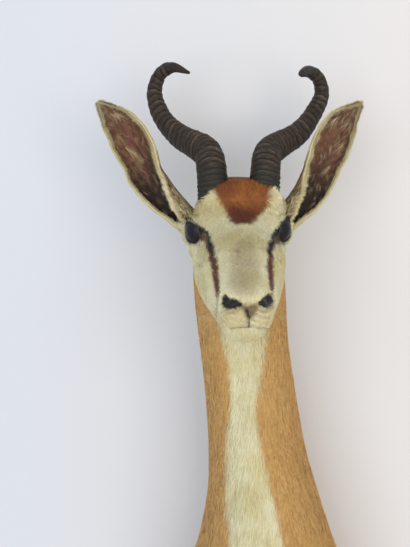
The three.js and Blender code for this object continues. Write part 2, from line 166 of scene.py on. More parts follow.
FACE_STRIPES = [
    [(207, 238), (211, 240), (214.5, 248), (218.5, 260), (219.3, 272), (220, 284), (219.5, 294), (218, 301),
     (216.5, 296), (214.5, 285), (213, 272), (211.5, 262), (209, 252), (206, 244)],
    [(271, 239), (267.5, 247), (266.3, 256), (266.5, 266), (267, 276), (269, 286), (271.5, 294), (273, 292),
     (273.3, 284), (272.7, 274), (271.7, 264), (271, 254), (273.5, 246), (275, 240)],
]
EYE_CORNERS = [
    [(197.5, 235.5), (203, 234), (207.5, 236.5), (208, 240), (203, 240.5), (198, 240)],
    [(282, 236), (277, 236), (274, 239), (274, 242), (279, 242)],
]
EYE_SKIN = [
    [(184, 218.5), (192.4, 221.6), (200.3, 224.4), (206.6, 231.5), (211, 236.6), (212, 243), (216, 254),
     (212, 252), (208.5, 243), (207, 240), (203, 239.5), (198.7, 240), (196, 241.5), (191, 243.5),
     (186, 242.5)],
    [(291.5, 213.5), (284, 217.5), (278.5, 224), (272, 233.5), (269.5, 243), (266.5, 254), (270, 252),
     (273, 244), (277, 241), (282, 241.5), (289, 240.5), (293, 232)],
]
LID_LINES = [
    [(184, 221), (190, 221.5), (196, 224), (202, 227), (206.5, 232), (209.5, 239), (211, 247), (214, 256)],
    [(289.5, 214), (283, 222), (276.5, 230), (271.5, 237), (268.5, 245), (267, 255)],
]
LOWER_LIDS = [[(186, 240), (191, 243), (197, 243.5)], [(278, 242), (284, 243.5), (289, 241)]]
EAR_LINES = [[(171, 214.5), (178, 218), (187, 222)], [(289, 213), (293, 220), (297.5, 229)]]
NOSTRILS = [
    [(221.4, 304), (222.4, 296.5), (225.6, 293.7), (229, 298), (236, 298.8), (242, 303), (240.5, 307.3),
     (234.6, 309.6), (227.5, 309.6), (222.8, 307.3)],
    [(257.8, 302.4), (262.9, 297.7), (268.8, 293.2), (272, 295.9), (273.7, 301.8), (271.3, 306.2),
     (266.4, 308.5), (261.7, 307.4), (258.6, 304.9)],
]
NOSE_PAD = [
    (241, 303.5), (248, 306), (255, 303), (258.5, 306), (256, 312), (252, 318), (247, 318), (243.5, 312),
    (240, 307),
]
# Painted shadow under the nostrils: lines of soft olive-brown shade in the frame's pixels
NOSTRIL_SHADOWS = [[(225, 311), (232, 312.5), (239, 310)], [(257, 309.5), (264, 312), (272, 308)]]
# The bridge of the nose: tinted olive brown as its own colour, and darkened with black as painted shade
NOSE_BRIDGE = [
    (240, 240), (230, 262), (229, 285), (238, 298), (252, 298), (259, 285), (258, 262), (250, 240),
]
PHILTRUM = [(246.4, 309), (248.7, 317), (249, 327.4)]
MOUTH = [(230, 329), (238, 327.6), (249, 327.2), (260, 328), (272, 329.5)]
MUZZLE_SEAM = [(218, 299), (216.9, 309), (216.4, 318.5)]
# Dusky spots, olive hair about the brows and ears and painted shade round the nose, mouth and bridge:
# place in the frame, radius, strength. Small marks: place and radius
DUSKY_AND_SHADED_SPOTS = [
    (186, 208, 8, 0.6), (197, 198, 6, 0.55), (204, 190, 4, 0.8), (281, 188, 4, 0.7), (288, 204, 6, 0.55),
    (212, 206, 9, 0.4), (200, 214, 9, 0.4), (275, 205, 9, 0.35), (225, 318, 9, 0.35), (262, 318, 9, 0.35),
    (240, 285, 9, 0.3), (243, 268, 9, 0.25), (205, 262, 7, 0.25), (234, 240, 12, 0.15), (220, 322, 8, 0.25),
    (249, 312, 12, 0.4), (249, 330, 14, 0.2), (232, 316, 7, 0.3), (266, 316, 7, 0.3),
]
SMALL_MARKS = [(238, 252, 1.5), (201, 262, 1.6), (265.5, 268, 1.3), (202, 200, 2.2)]

random = np.random.default_rng(71)


# Numbers and points

def linear(code):
    """An sRGB hex colour as linear red, green, blue and 1: c/12.92 up to 0.04045, else
    ((c+0.055)/1.055)^2.4."""
    c = np.array([int(code[i:i + 2], 16) for i in (1, 3, 5)]) / 255
    return (*np.where(c <= 0.04045, c / 12.92, ((c + 0.055) / 1.055) ** 2.4), 1.0)


def ramp(x, low, high):
    """Smooth step: 0 below low, 1 above high, 3t^2-2t^3 between."""
    t = np.clip((x - low) / (high - low), 0, 1)
    return t * t * (3 - 2 * t)


def hill(x, middle, width):
    """Bell curve exp(-((x-middle)/width)^2)."""
    return np.exp(-(((x - middle) / width) ** 2))


def unit(v):
    """Vectors divided by their lengths."""
    return v / np.maximum(np.linalg.norm(v, axis=-1, keepdims=True), 1e-9)


def face_point(along, side, out):
    """Head's origin plus distances along the face, to the side and out of the face."""
    place = HEAD_ORIGIN + np.multiply.outer(along, ALONG) + np.multiply.outer(side, RIGHT)
    return place + np.multiply.outer(out, OUT)


def head_point(place):
    """Head's origin plus distances to the side, back and up."""
    side, back, up = np.asarray(place, float).T
    return HEAD_ORIGIN + np.outer(side, RIGHT) + np.outer(back, BACK) + np.outer(up, UP)


def in_face(points):
    """A point's distances along the face, to the side and out of it: its dot products with those
    directions."""
    rest = points - HEAD_ORIGIN
    return rest @ ALONG, rest @ RIGHT, rest @ OUT


def in_frame(points):
    """Pixel of a point: the frame's middle plus focal length times offset over distance from the camera."""
    scale = FOCAL_PIXELS / (points[:, 1] - EYE_POINT[1])
    across = FRAME_MIDDLE[0] + (points[:, 0] - EYE_POINT[0]) * scale
    return np.stack([across, FRAME_MIDDLE[1] - (points[:, 2] - EYE_POINT[2]) * scale], 1)


def rows_at(table, places):
    """A table's columns read between its rows by cubics whose slopes come from the neighbouring rows."""
    x, values = table[:, 0], table[:, 1:]
    i = np.clip(np.searchsorted(x, places, side="right"), 1, len(x) - 1)
    before, after = i - 1, i
    prev = np.where(before > 0, before - 1, after)
    following = np.where(after < len(x) - 1, np.minimum(after + 1, len(x) - 1), before)
    half = (x[after] - x[before]) / 2
    wp = half / np.where(before > 0, x[before] - x[prev], x[before] - x[after])
    wn = half / np.where(after < len(x) - 1, x[following] - x[after], x[before] - x[after])
    p = (places - x[before]) / (x[after] - x[before])
    terms = (
        (-wp * p**3 + 2 * wp * p**2 - wp * p, prev),
        ((1 + wp) * p**3 + (-1.5 - 2 * wp) * p**2 + (-0.5 + wp) * p + 1, before),
        ((-1 - wn) * p**3 + (1.5 + wn) * p**2 + 0.5 * p, after),
        (wn * p**3 - wn * p**2, following),
    )
    return sum(weight[:, None] * values[row] for weight, row in terms)


def path_frames(points, shares):
    """Points and directions at shares of a path's length, and that length. Between two of its points the
    path is the cubic whose slopes come from the neighbours, with each gap weighed by the square root of its
    length."""
    p = np.vstack([2 * points[0] - points[1], points, 2 * points[-1] - points[-2]])
    t = np.linspace(0, 1, 80, endpoint=False)[:, None]
    dense = []
    for a, b, c, d in zip(p[:-3], p[1:-2], p[2:-1], p[3:]):
        gap = [math.sqrt(np.linalg.norm(y - x)) for x, y in ((a, b), (b, c), (c, d))]
        start = (b - a) / gap[0] - (c - a) / (gap[0] + gap[1]) + (c - b) / gap[1]
        end = (c - b) / gap[1] - (d - b) / (gap[1] + gap[2]) + (d - c) / gap[2]
        start, end = start * gap[1], end * gap[1]
        bend = 3 * (c - b) - 2 * start - end
        dense.append(b + start * t + bend * t**2 + (2 * (b - c) + start + end) * t**3)
    line = np.vstack([*dense, points[-1:]])
    run = np.concatenate([[0], np.cumsum(np.linalg.norm(np.diff(line, axis=0), axis=1))])
    slope = unit(np.gradient(line, run, axis=0))
    at = np.asarray(shares) * run[-1]
    spot = np.stack([np.interp(at, run, line[:, k]) for k in range(3)], 1)
    return spot, unit(np.stack([np.interp(at, run, slope[:, k]) for k in range(3)], 1)), run[-1]


def line_distance(pixels, line):
    """Distance from pixels to an open line: the least over its stretches, to the nearest place on each."""
    nearest = np.full(len(pixels), 1e9)
    for start, end in zip(line[:-1], line[1:]):
        edge = end - start
        t = np.clip((pixels - start) @ edge / (edge @ edge), 0, 1)
        nearest = np.minimum(nearest, np.linalg.norm(pixels - start - t[:, None] * edge, axis=1))
    return nearest


def inside(pixels, outline, soft):
    """How far pixels are inside a closed outline: distance to its nearest edge, negative outside, where a
    line to the right crosses the outline an even number of times, as a smooth step over soft."""
    line = np.array([*outline, outline[0]], float)
    nearest = line_distance(pixels, line)
    crossings = np.zeros(len(pixels), int)
    for start, end in zip(line[:-1], line[1:]):
        edge = end - start
        spans = (start[1] > pixels[:, 1]) != (end[1] > pixels[:, 1])
        reach = start[0] + (pixels[:, 1] - start[1]) * edge[0] / (edge[1] if edge[1] else 1e-9)
        crossings += spans & (pixels[:, 0] < reach)
    signed = np.where(crossings % 2 == 1, nearest, -nearest)
    return ramp(signed, -soft, soft)


def near_line(pixels, line, width):
    """Bell curve of the distance from pixels to an open line."""
    return hill(line_distance(pixels, np.array(line, float)), 0, width)


def spot_distance(points, spots):
    """Distance from each point to the nearest of some spots."""
    return np.linalg.norm(points[:, None] - spots[None], axis=2).min(1)


def ripple(points, size, seed):
    """Smooth pattern from -1 to 1: the mean of five sines along fixed chance directions, with waves of about
    size."""
    chance = np.random.default_rng(seed)
    waves = unit(chance.normal(size=(5, 3))) * 2 * math.pi / (size * chance.uniform(0.7, 1.5, (5, 1)))
    return np.sin(points @ waves.T + chance.uniform(0, 6.3, 5)).mean(1) * 1.6


# Meshes

def mesh_of(name, points, faces, smooth=True):
    """A mesh object at the origin from points in millimetres and faces as rows of corners."""
    mesh = bpy.data.meshes.new(name)
    mesh.from_pydata(points / 1000, [], faces)
    mesh.polygons.foreach_set("use_smooth", np.full(len(mesh.polygons), smooth))
    mesh.update()
    piece = bpy.data.objects.new(name, mesh)
    bpy.context.scene.collection.objects.link(piece)
    return piece


def give(piece, name, values):
    """Stores four numbers for each of a piece's points, as a colour and its alpha, which a finish reads."""
    data = np.asarray(values, np.float32)
    piece.data.attributes.new(name, "FLOAT_COLOR", "POINT").data.foreach_set("color", data.ravel())


def grid_faces(rows, columns, round_trip):
    """Faces of a grid of points; with round_trip its last column joins its first."""
    across = columns if round_trip else columns - 1
    r, c = np.meshgrid(np.arange(rows - 1), np.arange(across), indexing="ij")
    after = (c + 1) % columns
    faces = [r * columns + c, r * columns + after, (r + 1) * columns + after, (r + 1) * columns + c]
    return np.stack(faces, -1).reshape(-1, 4)


def closing_faces(rows, around):
    """Faces that join a round grid's last row to its first, so that the ring is a closed tube."""
    i = np.arange(around)
    after = (i + 1) % around
    last = (rows - 1) * around
    return np.stack([last + i, last + after, after, i], 1).tolist()


def tube_of(name, rings):
    """A closed surface over rings of equally many points, each end drawn together in one middle point."""
    count, around = rings.shape[:2]
    faces = grid_faces(count, around, True).tolist()
    points = np.vstack([rings.reshape(-1, 3), rings[0].mean(0), rings[-1].mean(0)])
    first, last = len(points) - 2, len(points) - 1
    for i in range(around):
        after = (i + 1) % around
        faces.append((first, after, i))
        faces.append((last, (count - 1) * around + i, (count - 1) * around + after))
    piece = mesh_of(name, points, faces)
    turn_out(piece)
    return piece


def signed_volume(points, triangles):
    """Sum of the triangles' a . (b x c), which is negative where the faces point inwards."""
    a, b, c = (points[triangles[:, k]] for k in range(3))
    return float(np.einsum("ij,ij->i", a, np.cross(b, c)).sum())


def numbers_of(items, key, across, kind):
    """One property of all of a mesh's points, edges or triangles, as rows of so many numbers."""
    values = np.empty(len(items) * across, kind)
    items.foreach_get(key, values)
    return values.reshape(-1, across)


def triangles_of(mesh):
    """A mesh's points in millimetres, its triangles and its points' outward directions."""
    points = numbers_of(mesh.vertices, "co", 3, np.float32).astype(float) * 1000
    normals = numbers_of(mesh.vertices, "normal", 3, np.float32).astype(float)
    mesh.calc_loop_triangles()
    return points, numbers_of(mesh.loop_triangles, "vertices", 3, np.int32), normals


def turn_out(piece):
    """Turns all faces round where the volume that they enclose is negative."""
    points, triangles, _ = triangles_of(piece.data)
    if signed_volume(points, triangles) < 0:
        piece.data.flip_normals()


def set_points(piece, points):
    """Puts new places, in millimetres, into a piece's mesh."""
    piece.data.vertices.foreach_set("co", (points / 1000).astype(np.float32).ravel())
    piece.data.update()


def relaxed(points, edges, steps):
    """Each step moves every point that share of the way to its neighbours' mean, or away from it if
    negative."""
    a, b = edges.T
    share = 1 / np.maximum(np.bincount(edges.ravel(), minlength=len(points)), 1)[:, None]
    for step in steps:
        total = [np.bincount(a, points[b, k], len(points)) + np.bincount(b, points[a, k], len(points))
                 for k in range(3)]
        points = points + step * (np.stack(total, 1) * share - points)
    return points


# Forms

def oval(angle, power):
    """Point of |x|^power + |y|^power = 1 at an angle from x."""
    c, s = np.cos(angle), np.sin(angle)
    reach = (np.abs(c) ** power + np.abs(s) ** power) ** (-1 / power)
    return c * reach, s * reach


def neck_rings(heights, around, inset):
    """Level ovals of the neck, fuller than ellipses. Their widest place is 0.58 of the way back, they lie
    inset inside the solid, and what would pass the wall's plane lies flat on it. A third of each oval's
    points lie behind the corner where that flat starts, so that the corner is one clean line."""
    third = around // 3
    rings = []
    for height, (middle, half, front, back) in zip(heights, rows_at(NECK_SECTIONS, heights)):
        half, front, back = max(half - inset, 1), min(front + inset, -8), back - inset
        widest = front + (back - front) * WIDEST_AT
        depth = min(max((-WALL_GAP - widest) / (back - widest), 0.02), 0.995) if back > -WALL_GAP else 0.995
        corner = math.atan2(depth, (1 - depth**NECK_FULLNESS) ** (1 / NECK_FULLNESS))
        turns = np.concatenate([
            np.linspace(-math.pi - corner, corner, around - third, endpoint=False),
            np.linspace(corner, math.pi - corner, third, endpoint=False),
        ])
        across, depth = oval(turns, NECK_FULLNESS)
        y = widest + depth * np.where(depth < 0, widest - front, back - widest)
        ring = [middle + half * across, np.minimum(y, -WALL_GAP), np.full(around, height)]
        rings.append(np.stack(ring, 1))
    return np.array(rings)


def head_rings(places, around, inset):
    """Ovals square to the face line, flatter over the brow than under the jaw, inset inside the solid."""
    angle = np.linspace(0, 2 * math.pi, around, endpoint=False)
    rings = []
    for along, (top, bottom, half, widest) in zip(places, rows_at(HEAD_SECTIONS, places)):
        across, rise = oval(angle, np.where(np.sin(angle) > 0, BROW_FULLNESS, JAW_FULLNESS))
        reach = np.where(rise > 0, top - inset - widest, widest - bottom - inset)
        rings.append(face_point(np.full(around, along), (half - inset) * across, widest + rise * reach))
    return np.array(rings)


def eye_place(which):
    """An eye's middle, where it looks, and two directions square to that: towards the nose, and upwards."""
    side, along, out, apart = EYES[which]
    middle = face_point(along, side * apart, out)
    look = unit(face_point(EYE_LOOK[0], side * EYE_LOOK[1], EYE_LOOK[2]) - HEAD_ORIGIN)
    nose = unit(ALONG - (ALONG @ look) * look)
    lift = unit(OUT - (OUT @ look) * look)
    lift = unit(lift - (lift @ nose) * nose)
    return middle, look, nose, lift


def ear_frames(which, shares):
    """Middle line of an ear with the way that its cup opens, swung from root to tip, and the way across
    it."""
    mirror = 1 if which == "left" else -1
    spot, direction, _ = path_frames(head_point(EAR_PATHS[which]), shares)
    root, tip = (np.array(v, float) * (mirror, 1, 1) for v in EAR_OPENS)
    opens = root + (tip - root) * np.asarray(shares)[:, None]
    opens = unit(opens - (opens * direction).sum(1, keepdims=True) * direction)
    across = np.cross(direction, opens)
    shift = mirror * np.interp(shares, *EAR_SHIFTS[which])
    return spot + across * shift[:, None], opens, across


def horn_seated(which):
    """Middle line of a horn, with its seat in the skin added below the first point."""
    path = HORN_PATHS[which]
    side, back, up = path[0]
    return head_point([(side, back, up - HORN_SEAT), *path])


def horn_radius(which, shares):
    """Radius of a horn read straight between the rows of its table."""
    rows = np.array(HORN_RADII + HORN_TIPS[which], float)
    return np.interp(shares, rows[:, 0], rows[:, 1])


def on_ball(polar, turn, look, nose, lift):
    """Direction at an angle polar from look and turned from nose to lift: look cos(polar) + sin(polar) times
    nose cos(turn) + lift sin(turn)."""
    return np.cos(polar) * look + np.sin(polar) * (np.cos(turn) * nose + np.sin(turn) * lift)


# The coat's pattern

def coat(points, normals):
    """Shares of tan, rufous, dark brown and black in the coat; what is left is cream. The front takes the
    outlines in the frame. Behind the cheeks and off the throat the coat is tan, and the poll behind the
    horns is rufous. Some of the black and tan is painted shade: below and inside the nostrils, at the
    bottoms of the ears' cups, on the bridge of the nose, in some dusky spots and over the face's front."""
    pixels = in_frame(points)
    along, side, out = in_face(points)
    rest = points - HEAD_ORIGIN
    back, up = rest @ BACK, rest @ UP
    rough = ripple(points, 9, 5) * 1.1 + ripple(points, 3.5, 6) * 0.7
    seen = pixels + np.stack([rough, ripple(points, 7, 7) * 1.2], 1)
    front = 1 - ramp(normals[:, 1], -0.15, 0.25)
    on_muzzle = back < -60
    on_neck = ramp(points[:, 1], -213, -203) * (1 - ramp(points[:, 2], 318, 352)) * front
    face = inside(seen, WHITE_FACE, 2.0) * (1 - ramp(back + rough * 2, 26, 46))
    face = face * ramp(up, -175, -150) * (1 - on_neck)
    by_ear = hill(np.hypot(np.abs(side) - 56, up + 24), 0, 30) * hill(back, 34, 30) * 1.5
    under_jaw = ramp(along, 5, 30) * (1 - ramp(out, -70, -50)) * ramp(-normals[:, 2], 0.1, 0.5)
    throat = inside(seen, WHITE_THROAT, 3.2) * front
    behind_chin = (1 - ramp(np.abs(points[:, 0] + 38), 18, 27)) * ramp(points[:, 2], 288, 302) * front
    throat = np.maximum(throat, behind_chin * (1 - ramp(points[:, 2], 345, 365)))
    cream = np.max([face, by_ear, throat, under_jaw * ramp(up, -170, -120)], axis=0)
    patch = inside(seen, FOREHEAD_PATCH, 2.2) * (1 - ramp(back, 30, 40))
    poll = ramp(back, 20, 34) * ramp(up, -34, -14) * (1 - ramp(np.abs(side), 20, 34))
    fringe = inside(seen + (rough * 1.5)[:, None], PATCH_FRINGE, 6.0) * (back < 30) * patch
    on_top = (back < 20) * ramp(out, -74, -60)
    stripes = sum(inside(seen - (rough * 0.5)[:, None] * (1, 0), s, 1.2) for s in FACE_STRIPES) * on_top
    by_eye = 1 - ramp(back, 5, 12)
    corners = sum(inside(seen, s, 1.5) for s in EYE_CORNERS) * by_eye
    lines = sum(near_line(seen, s, 1.6) for s in LID_LINES) * by_eye * on_top
    # in_ear_cup adds black at the bottoms of the ears' cups as painted shade
    lines = lines + sum(near_line(pixels, s, 1.1) for s in LOWER_LIDS) * 0.8 * by_eye + in_ear_cup(points)
    lines = lines + sum(near_line(pixels, s, 1.1) for s in EAR_LINES) * (back < 36) * (normals[:, 1] < -0.1)
    lines = lines + near_line(pixels, PHILTRUM, 0.9) * on_muzzle * 0.8
    lines = lines + near_line(pixels, MOUTH, 0.8) * on_muzzle * 0.6
    lines = lines + near_line(pixels, MUZZLE_SEAM, 0.7) * on_muzzle * 0.5
    lines = np.maximum(lines, sum(inside(seen, s, 1.0) for s in EYE_SKIN) * by_eye * (1 - corners * 0.88))
    # dusky hair by the brows and ears, and painted shade round the nose, mouth and bridge
    dusk_and_shade = sum(hill(pixels[:, 0], x, r) * hill(pixels[:, 1], y, r) * a for x, y, r, a in DUSKY_AND_SHADED_SPOTS)
    dusk_and_shade = dusk_and_shade * (back < 60)
    marks = sum(hill(np.hypot(pixels[:, 0] - x, pixels[:, 1] - y), 0, r) for x, y, r in SMALL_MARKS)
    marks = marks * (back < 25)
    nose = inside(pixels, NOSE_PAD, 2.4) * on_muzzle
    # painted shade: the nostrils are black inside, for the dark of their deep hollows
    shaded_nostrils = sum(inside(pixels, s, 0.8) for s in NOSTRILS) * on_muzzle
    # the bridge's olive tint, and its black as painted shade
    bridge_tint_and_shade = inside(seen, NOSE_BRIDGE, 6.0) * (back < 10)
    # painted shadow under the nostrils, in tan, brown and black
    shadow_below_nostrils = sum(near_line(pixels, s, 2.0) for s in NOSTRIL_SHADOWS) * on_muzzle
    from_nape = points[:, 0] + 20 + 0.08 * (points[:, 2] - 200)
    nape = ramp(normals[:, 1], 0.1, 0.9) * hill(from_nape, 0, 26) * (back > 20)
    rufous = np.max([patch, poll * 0.8, stripes * 0.35, corners, nape * 0.3], axis=0)
    browns = [fringe * 0.72, stripes * 0.96, corners * 0.45, bridge_tint_and_shade * 0.05, shadow_below_nostrils * 0.12]
    brown = np.max(browns, axis=0)
    dusk_and_shade = dusk_and_shade * np.clip(0.8 + 0.7 * ripple(points, 5, 33), 0, 1.4)
    # painted shade: a little black over the face's front where the skin faces straight out of it, as the
    # light falls from the sides
    painted_face_shade = ramp(normals @ OUT, 0.35, 1.0) * ramp(along, 4, 40) * (1 - ramp(along, 140, 160))
    speckles = patch * (0.12 + 0.3 * ramp(ripple(points, 4, 44), 0.1, 0.9)) + patch * 0.35 * ramp(up, 6, 14)
    black = shaded_nostrils + lines + marks * 0.45 + nose * 0.62 + shadow_below_nostrils * 0.26 + dusk_and_shade * 0.3 + speckles * 0.6
    black = black + painted_face_shade * 0.09 + bridge_tint_and_shade * 0.18
    tan = np.max([1 - cream, bridge_tint_and_shade * 0.24, nose * 0.7, shadow_below_nostrils * 0.45, dusk_and_shade * 0.6], axis=0)
    return np.clip(np.stack([tan, rufous, brown, black], 1), 0, 1)


# Skin of the head and the top of the neck

SKIN_INSET = 1.6  # the hair fills this up to the solid's surface
HEAD_AROUND = 120  # points round each oval of the head's forms, and of the neck's skin
NECK_AROUND = 200
HEAD_VOXEL = 1.7  # side of the small cells that make the head's forms one
SPLIT_HEIGHT = 308  # the head's skin starts here, and the neck's ends a little above
MUZZLE_FROM = 140  # where the muzzle starts along the face
# The skin's bed for an eye: a larger ball, with its middle so far behind the eye's own
EYE_BED_RADIUS = 20.2
EYE_BED_BACK = 8
BOARD_HOLLOW = (61, 115)  # half width and half height of the oval hollow behind, where the board sits
# Rises of the face: height, then middle and width along the face, from its middle line, and out of it
FACE_RISES = [
    (2.2, 6, 15, 42, 11, -6, 14),  # brow over the eye
    (-3.2, 50, 13, 43, 12, -20, 12),  # hollow before the eye
    (-1.8, 92, 30, 27, 7, -10, 12),  # groove beside the bridge of the nose
    (1.2, 92, 34, 13, 8, 0, 12),  # edge of the bridge
    (-1.3, 96, 26, 40, 14, -44, 16),  # hollow of the cheek
    (1.6, 60, 24, 47, 14, -64, 16),  # jaw
    (1.8, 158, 8, 22, 9, -12, 11),  # wing of the nostril
    (-1.0, 168, 10, 0, 4, -16, 16),  # groove between the nostrils
]


def ball_rings(middle, axis, radius, rows=24, around=36):
    """Circles of a ball, of radius r sin(angle) at r cos(angle) along an axis."""
    across = unit(np.cross(axis, UP))
    lift = np.cross(across, axis)
    polar = np.linspace(0.05, math.pi - 0.05, rows)[:, None, None]
    turn = np.linspace(0, 2 * math.pi, around, endpoint=False)[None, :, None]
    return middle + radius * on_ball(polar, turn, axis, across, lift)


def mound_rings(place, size, inset):
    """A closed mound: a ball of radius 1 stretched to the side, back and up."""
    ways = np.stack([RIGHT, BACK, UP])
    ball = ball_rings(np.zeros(3), RIGHT, 1.0)
    return head_point([place])[0] + (ball @ ways.T * (np.array(size) - inset)) @ ways


def ear_root_rings(which):
    """The closed lower end of an ear: ovals square to its middle line that shrink where the cup begins."""
    shares = np.linspace(0, 0.2, 14)
    spot, opens, across = ear_frames(which, shares)
    half, depth = rows_at(EAR_SECTIONS, shares).T
    shrink = (1 - ramp(shares, 0.08, 0.2) * 0.75)[:, None, None]
    angle = np.linspace(0, 2 * math.pi, 30, endpoint=False)[None, :, None]
    rings = across[:, None] * (half[:, None, None] - 2) * np.sin(angle)
    rings = rings - opens[:, None] * (depth[:, None, None] - 2) * np.cos(angle)
    return (spot - opens * (ramp(shares, 0.08, 0.2) * depth * 0.5)[:, None])[:, None] + rings * shrink


def in_ear_cup(points):
    """1 at the bottom of either ear's cup, by the distance from the ear's middle line there. The coat
    paints it black there as shade in the cup's deep root.
    """
    near = np.zeros(len(points))
    for which in EAR_PATHS:
        spots = ear_frames(which, np.array([0.15, 0.18, 0.21]))[0]
        near = np.maximum(near, 1 - ramp(spot_distance(points, spots), 10.5, 13.5))
    return near


def face_shape(points, normals):
    """Rise of the skin along its outward direction: a sum of bell curves over the face's own directions and
    of hollows inside the outlines of nostrils, mouth and philtrum."""
    along, side, out = in_face(points)
    wide = np.abs(side)
    pixels = in_frame(points)
    front = 1 - ramp(normals[:, 1], -0.3, 0.2)
    rise = sum(height * hill(along, a, a_width) * hill(wide, b, b_width) * hill(out, c, c_width)
               for height, a, a_width, b, b_width, c, c_width in FACE_RISES)
    nostril = sum(inside(pixels, outline, 1.6) for outline in NOSTRILS)
    rise -= 6.0 * nostril * front * (along > MUZZLE_FROM)
    rise -= 1.3 * near_line(pixels, PHILTRUM, 1.3) * (along > 150)
    rise -= 1.6 * near_line(pixels, MOUTH, 1.5) * (along > MUZZLE_FROM)
    rise += 1.0 * near_line(pixels, [(x, y + 5) for x, y in MOUTH[1:4]], 3.5) * (along > 150)
    return rise


def eye_hollow(points):
    """Draws skin that lies over an eye's bare front back behind the ball, under where the lids are."""
    for which in EYES:
        middle, look, nose, lift = eye_place(which)
        away = points - middle
        far = np.linalg.norm(away, axis=1)
        x, y, z = away @ nose, away @ lift, away @ look
        edge = lid_edge(np.arctan2(y, x))
        open_part = 1 - ramp(np.arctan2(np.hypot(x, y), z), edge + 0.04, edge + 0.22)
        target = EYE_RADIUS - 4
        pull = open_part * (z > -2) * (far < 34)
        new = far + (np.minimum(far, target) - far) * pull
        points = middle + away * (new / np.maximum(far, 1e-6))[:, None]
    return points


def head_skin():
    """One skin for the head, the ears' roots and the top of the neck: closed forms made one by small cells,
    eased, then raised and sunk as the face is."""
    heights = np.linspace(300, 434, 46)
    forms = [
        tube_of("form", head_rings(np.linspace(-47, 171, 120), HEAD_AROUND, SKIN_INSET)),
        tube_of("form", neck_rings(heights, HEAD_AROUND, SKIN_INSET)),
        tube_of("form", ear_root_rings("left")),
        tube_of("form", ear_root_rings("right")),
        tube_of("form", mound_rings(CREST_PLACE, CREST_SIZE, SKIN_INSET)),
        *(tube_of("form", mound_rings(place, size, 0)) for place, size in MOUNDS),
    ]
    for which in EYES:
        middle, look, _, _ = eye_place(which)
        forms.append(tube_of("form", ball_rings(middle - look * EYE_BED_BACK, look, EYE_BED_RADIUS)))
    with bpy.context.temp_override(active_object=forms[0], selected_editable_objects=forms):
        bpy.ops.object.join()
    whole = forms[0]
    cells = whole.modifiers.new("cells", "REMESH")
    cells.mode = "VOXEL"
    cells.voxel_size = HEAD_VOXEL / 1000
    bpy.context.view_layer.update()
    made = bpy.data.meshes.new_from_object(whole.evaluated_get(bpy.context.evaluated_depsgraph_get()))
    bpy.data.objects.remove(whole)
    piece = bpy.data.objects.new("head_skin", made)
    bpy.context.scene.collection.objects.link(piece)
    edges = numbers_of(made.edges, "vertices", 2, np.int32)
    points = relaxed(triangles_of(made)[0], edges, np.tile([0.5, -0.52], 7))
    rest = points - HEAD_ORIGIN
    front = ramp(rest @ UP, -44, -22) * (1 - ramp(rest @ BACK, 8, 20))
    front = front * (1 - ramp(np.abs(rest @ RIGHT), 44, 56))
    for which in EYES:
        front = front * ramp(np.linalg.norm(points - eye_place(which)[0], axis=1), 24, 36)
    set_points(piece, relaxed(points, edges, [front[:, None] * 0.6] * 45))
    turn_out(piece)
    points, _, normals = triangles_of(made)
    points = points + normals * face_shape(points, normals)[:, None]
    set_points(piece, eye_hollow(points))
    made.polygons.foreach_set("use_smooth", np.full(len(made.polygons), True))
    made.update()
    return piece


def neck_skin():
    """The neck and chest below the head: level ovals, closed at both ends, flat against the wall behind,
    with a hollow there for the board."""
    heights = np.concatenate([[-182, -180.6, -178.6], np.linspace(-176, SPLIT_HEIGHT + 6, 176)])
    rings = neck_rings(heights, NECK_AROUND, SKIN_INSET)
    points = rings.reshape(-1, 3)
    under_board = (points[:, 0] / BOARD_HOLLOW[0]) ** 2 + (points[:, 2] / BOARD_HOLLOW[1]) ** 2 < 1
    points[under_board & (points[:, 1] > -1), 1] = -17
    return tube_of("neck_skin", points.reshape(rings.shape))


def back_plate():
    """The foam form's flat back, from the hole for the board out to 15 mm inside the hide's edge: a flat
    ring, with its outer border found as reach by angle from the neck's own flat."""
    heights = np.linspace(-181, 158, 160)
    middle, half, front, back = rows_at(NECK_SECTIONS, heights).T
    widest = front + (back - front) * WIDEST_AT
    depth = np.clip((-WALL_GAP - widest) / np.maximum(back - widest, 1e-6), 0, 1)
    flat = half * np.maximum(1 - depth**NECK_FULLNESS, 0) ** (1 / NECK_FULLNESS)
    right, left = np.column_stack([middle + flat, heights]), np.column_stack([middle - flat, heights])
    edge = np.vstack([right, left[::-1]])
    reach, at = np.hypot(edge[:, 0], edge[:, 1]), np.arctan2(edge[:, 1], edge[:, 0])
    order = np.argsort(at)
    angle = np.linspace(-math.pi, math.pi, 160, endpoint=False)
    way = np.stack([np.cos(angle), np.sin(angle)], 1)
    hole = 1 / np.hypot(way[:, 0] / (BOARD_HOLLOW[0] + 0.5), way[:, 1] / (BOARD_HOLLOW[1] + 0.5))
    border = np.maximum(np.interp(angle, at[order], reach[order], period=2 * math.pi) - 15, hole + 3)
    rings = []
    for far, y in ((hole, -8), (hole, -0.12), (border, -0.12), (border, -8)):
        flat_ring = way * far[:, None]
        rings.append(np.stack([flat_ring[:, 0], np.full(len(angle), float(y)), flat_ring[:, 1]], 1))
    rings = np.array(rings)
    faces = grid_faces(4, len(angle), True).tolist() + closing_faces(4, len(angle))
    piece = mesh_of("foam_back", rings.reshape(-1, 3), faces, smooth=False)
    turn_out(piece)
    return piece


# Ears

EAR_INSET = 1.2
EAR_WALL = 3.2
EAR_COLUMNS = 41
EAR_RIDGES = (-0.42, 0.02, 0.44)
OUTER_EAR_HAIRS = 15000
FRINGE_HAIRS = 10000
CUP_HAIRS = 9000
WISPS = 70
WISP_HAIRS = 9
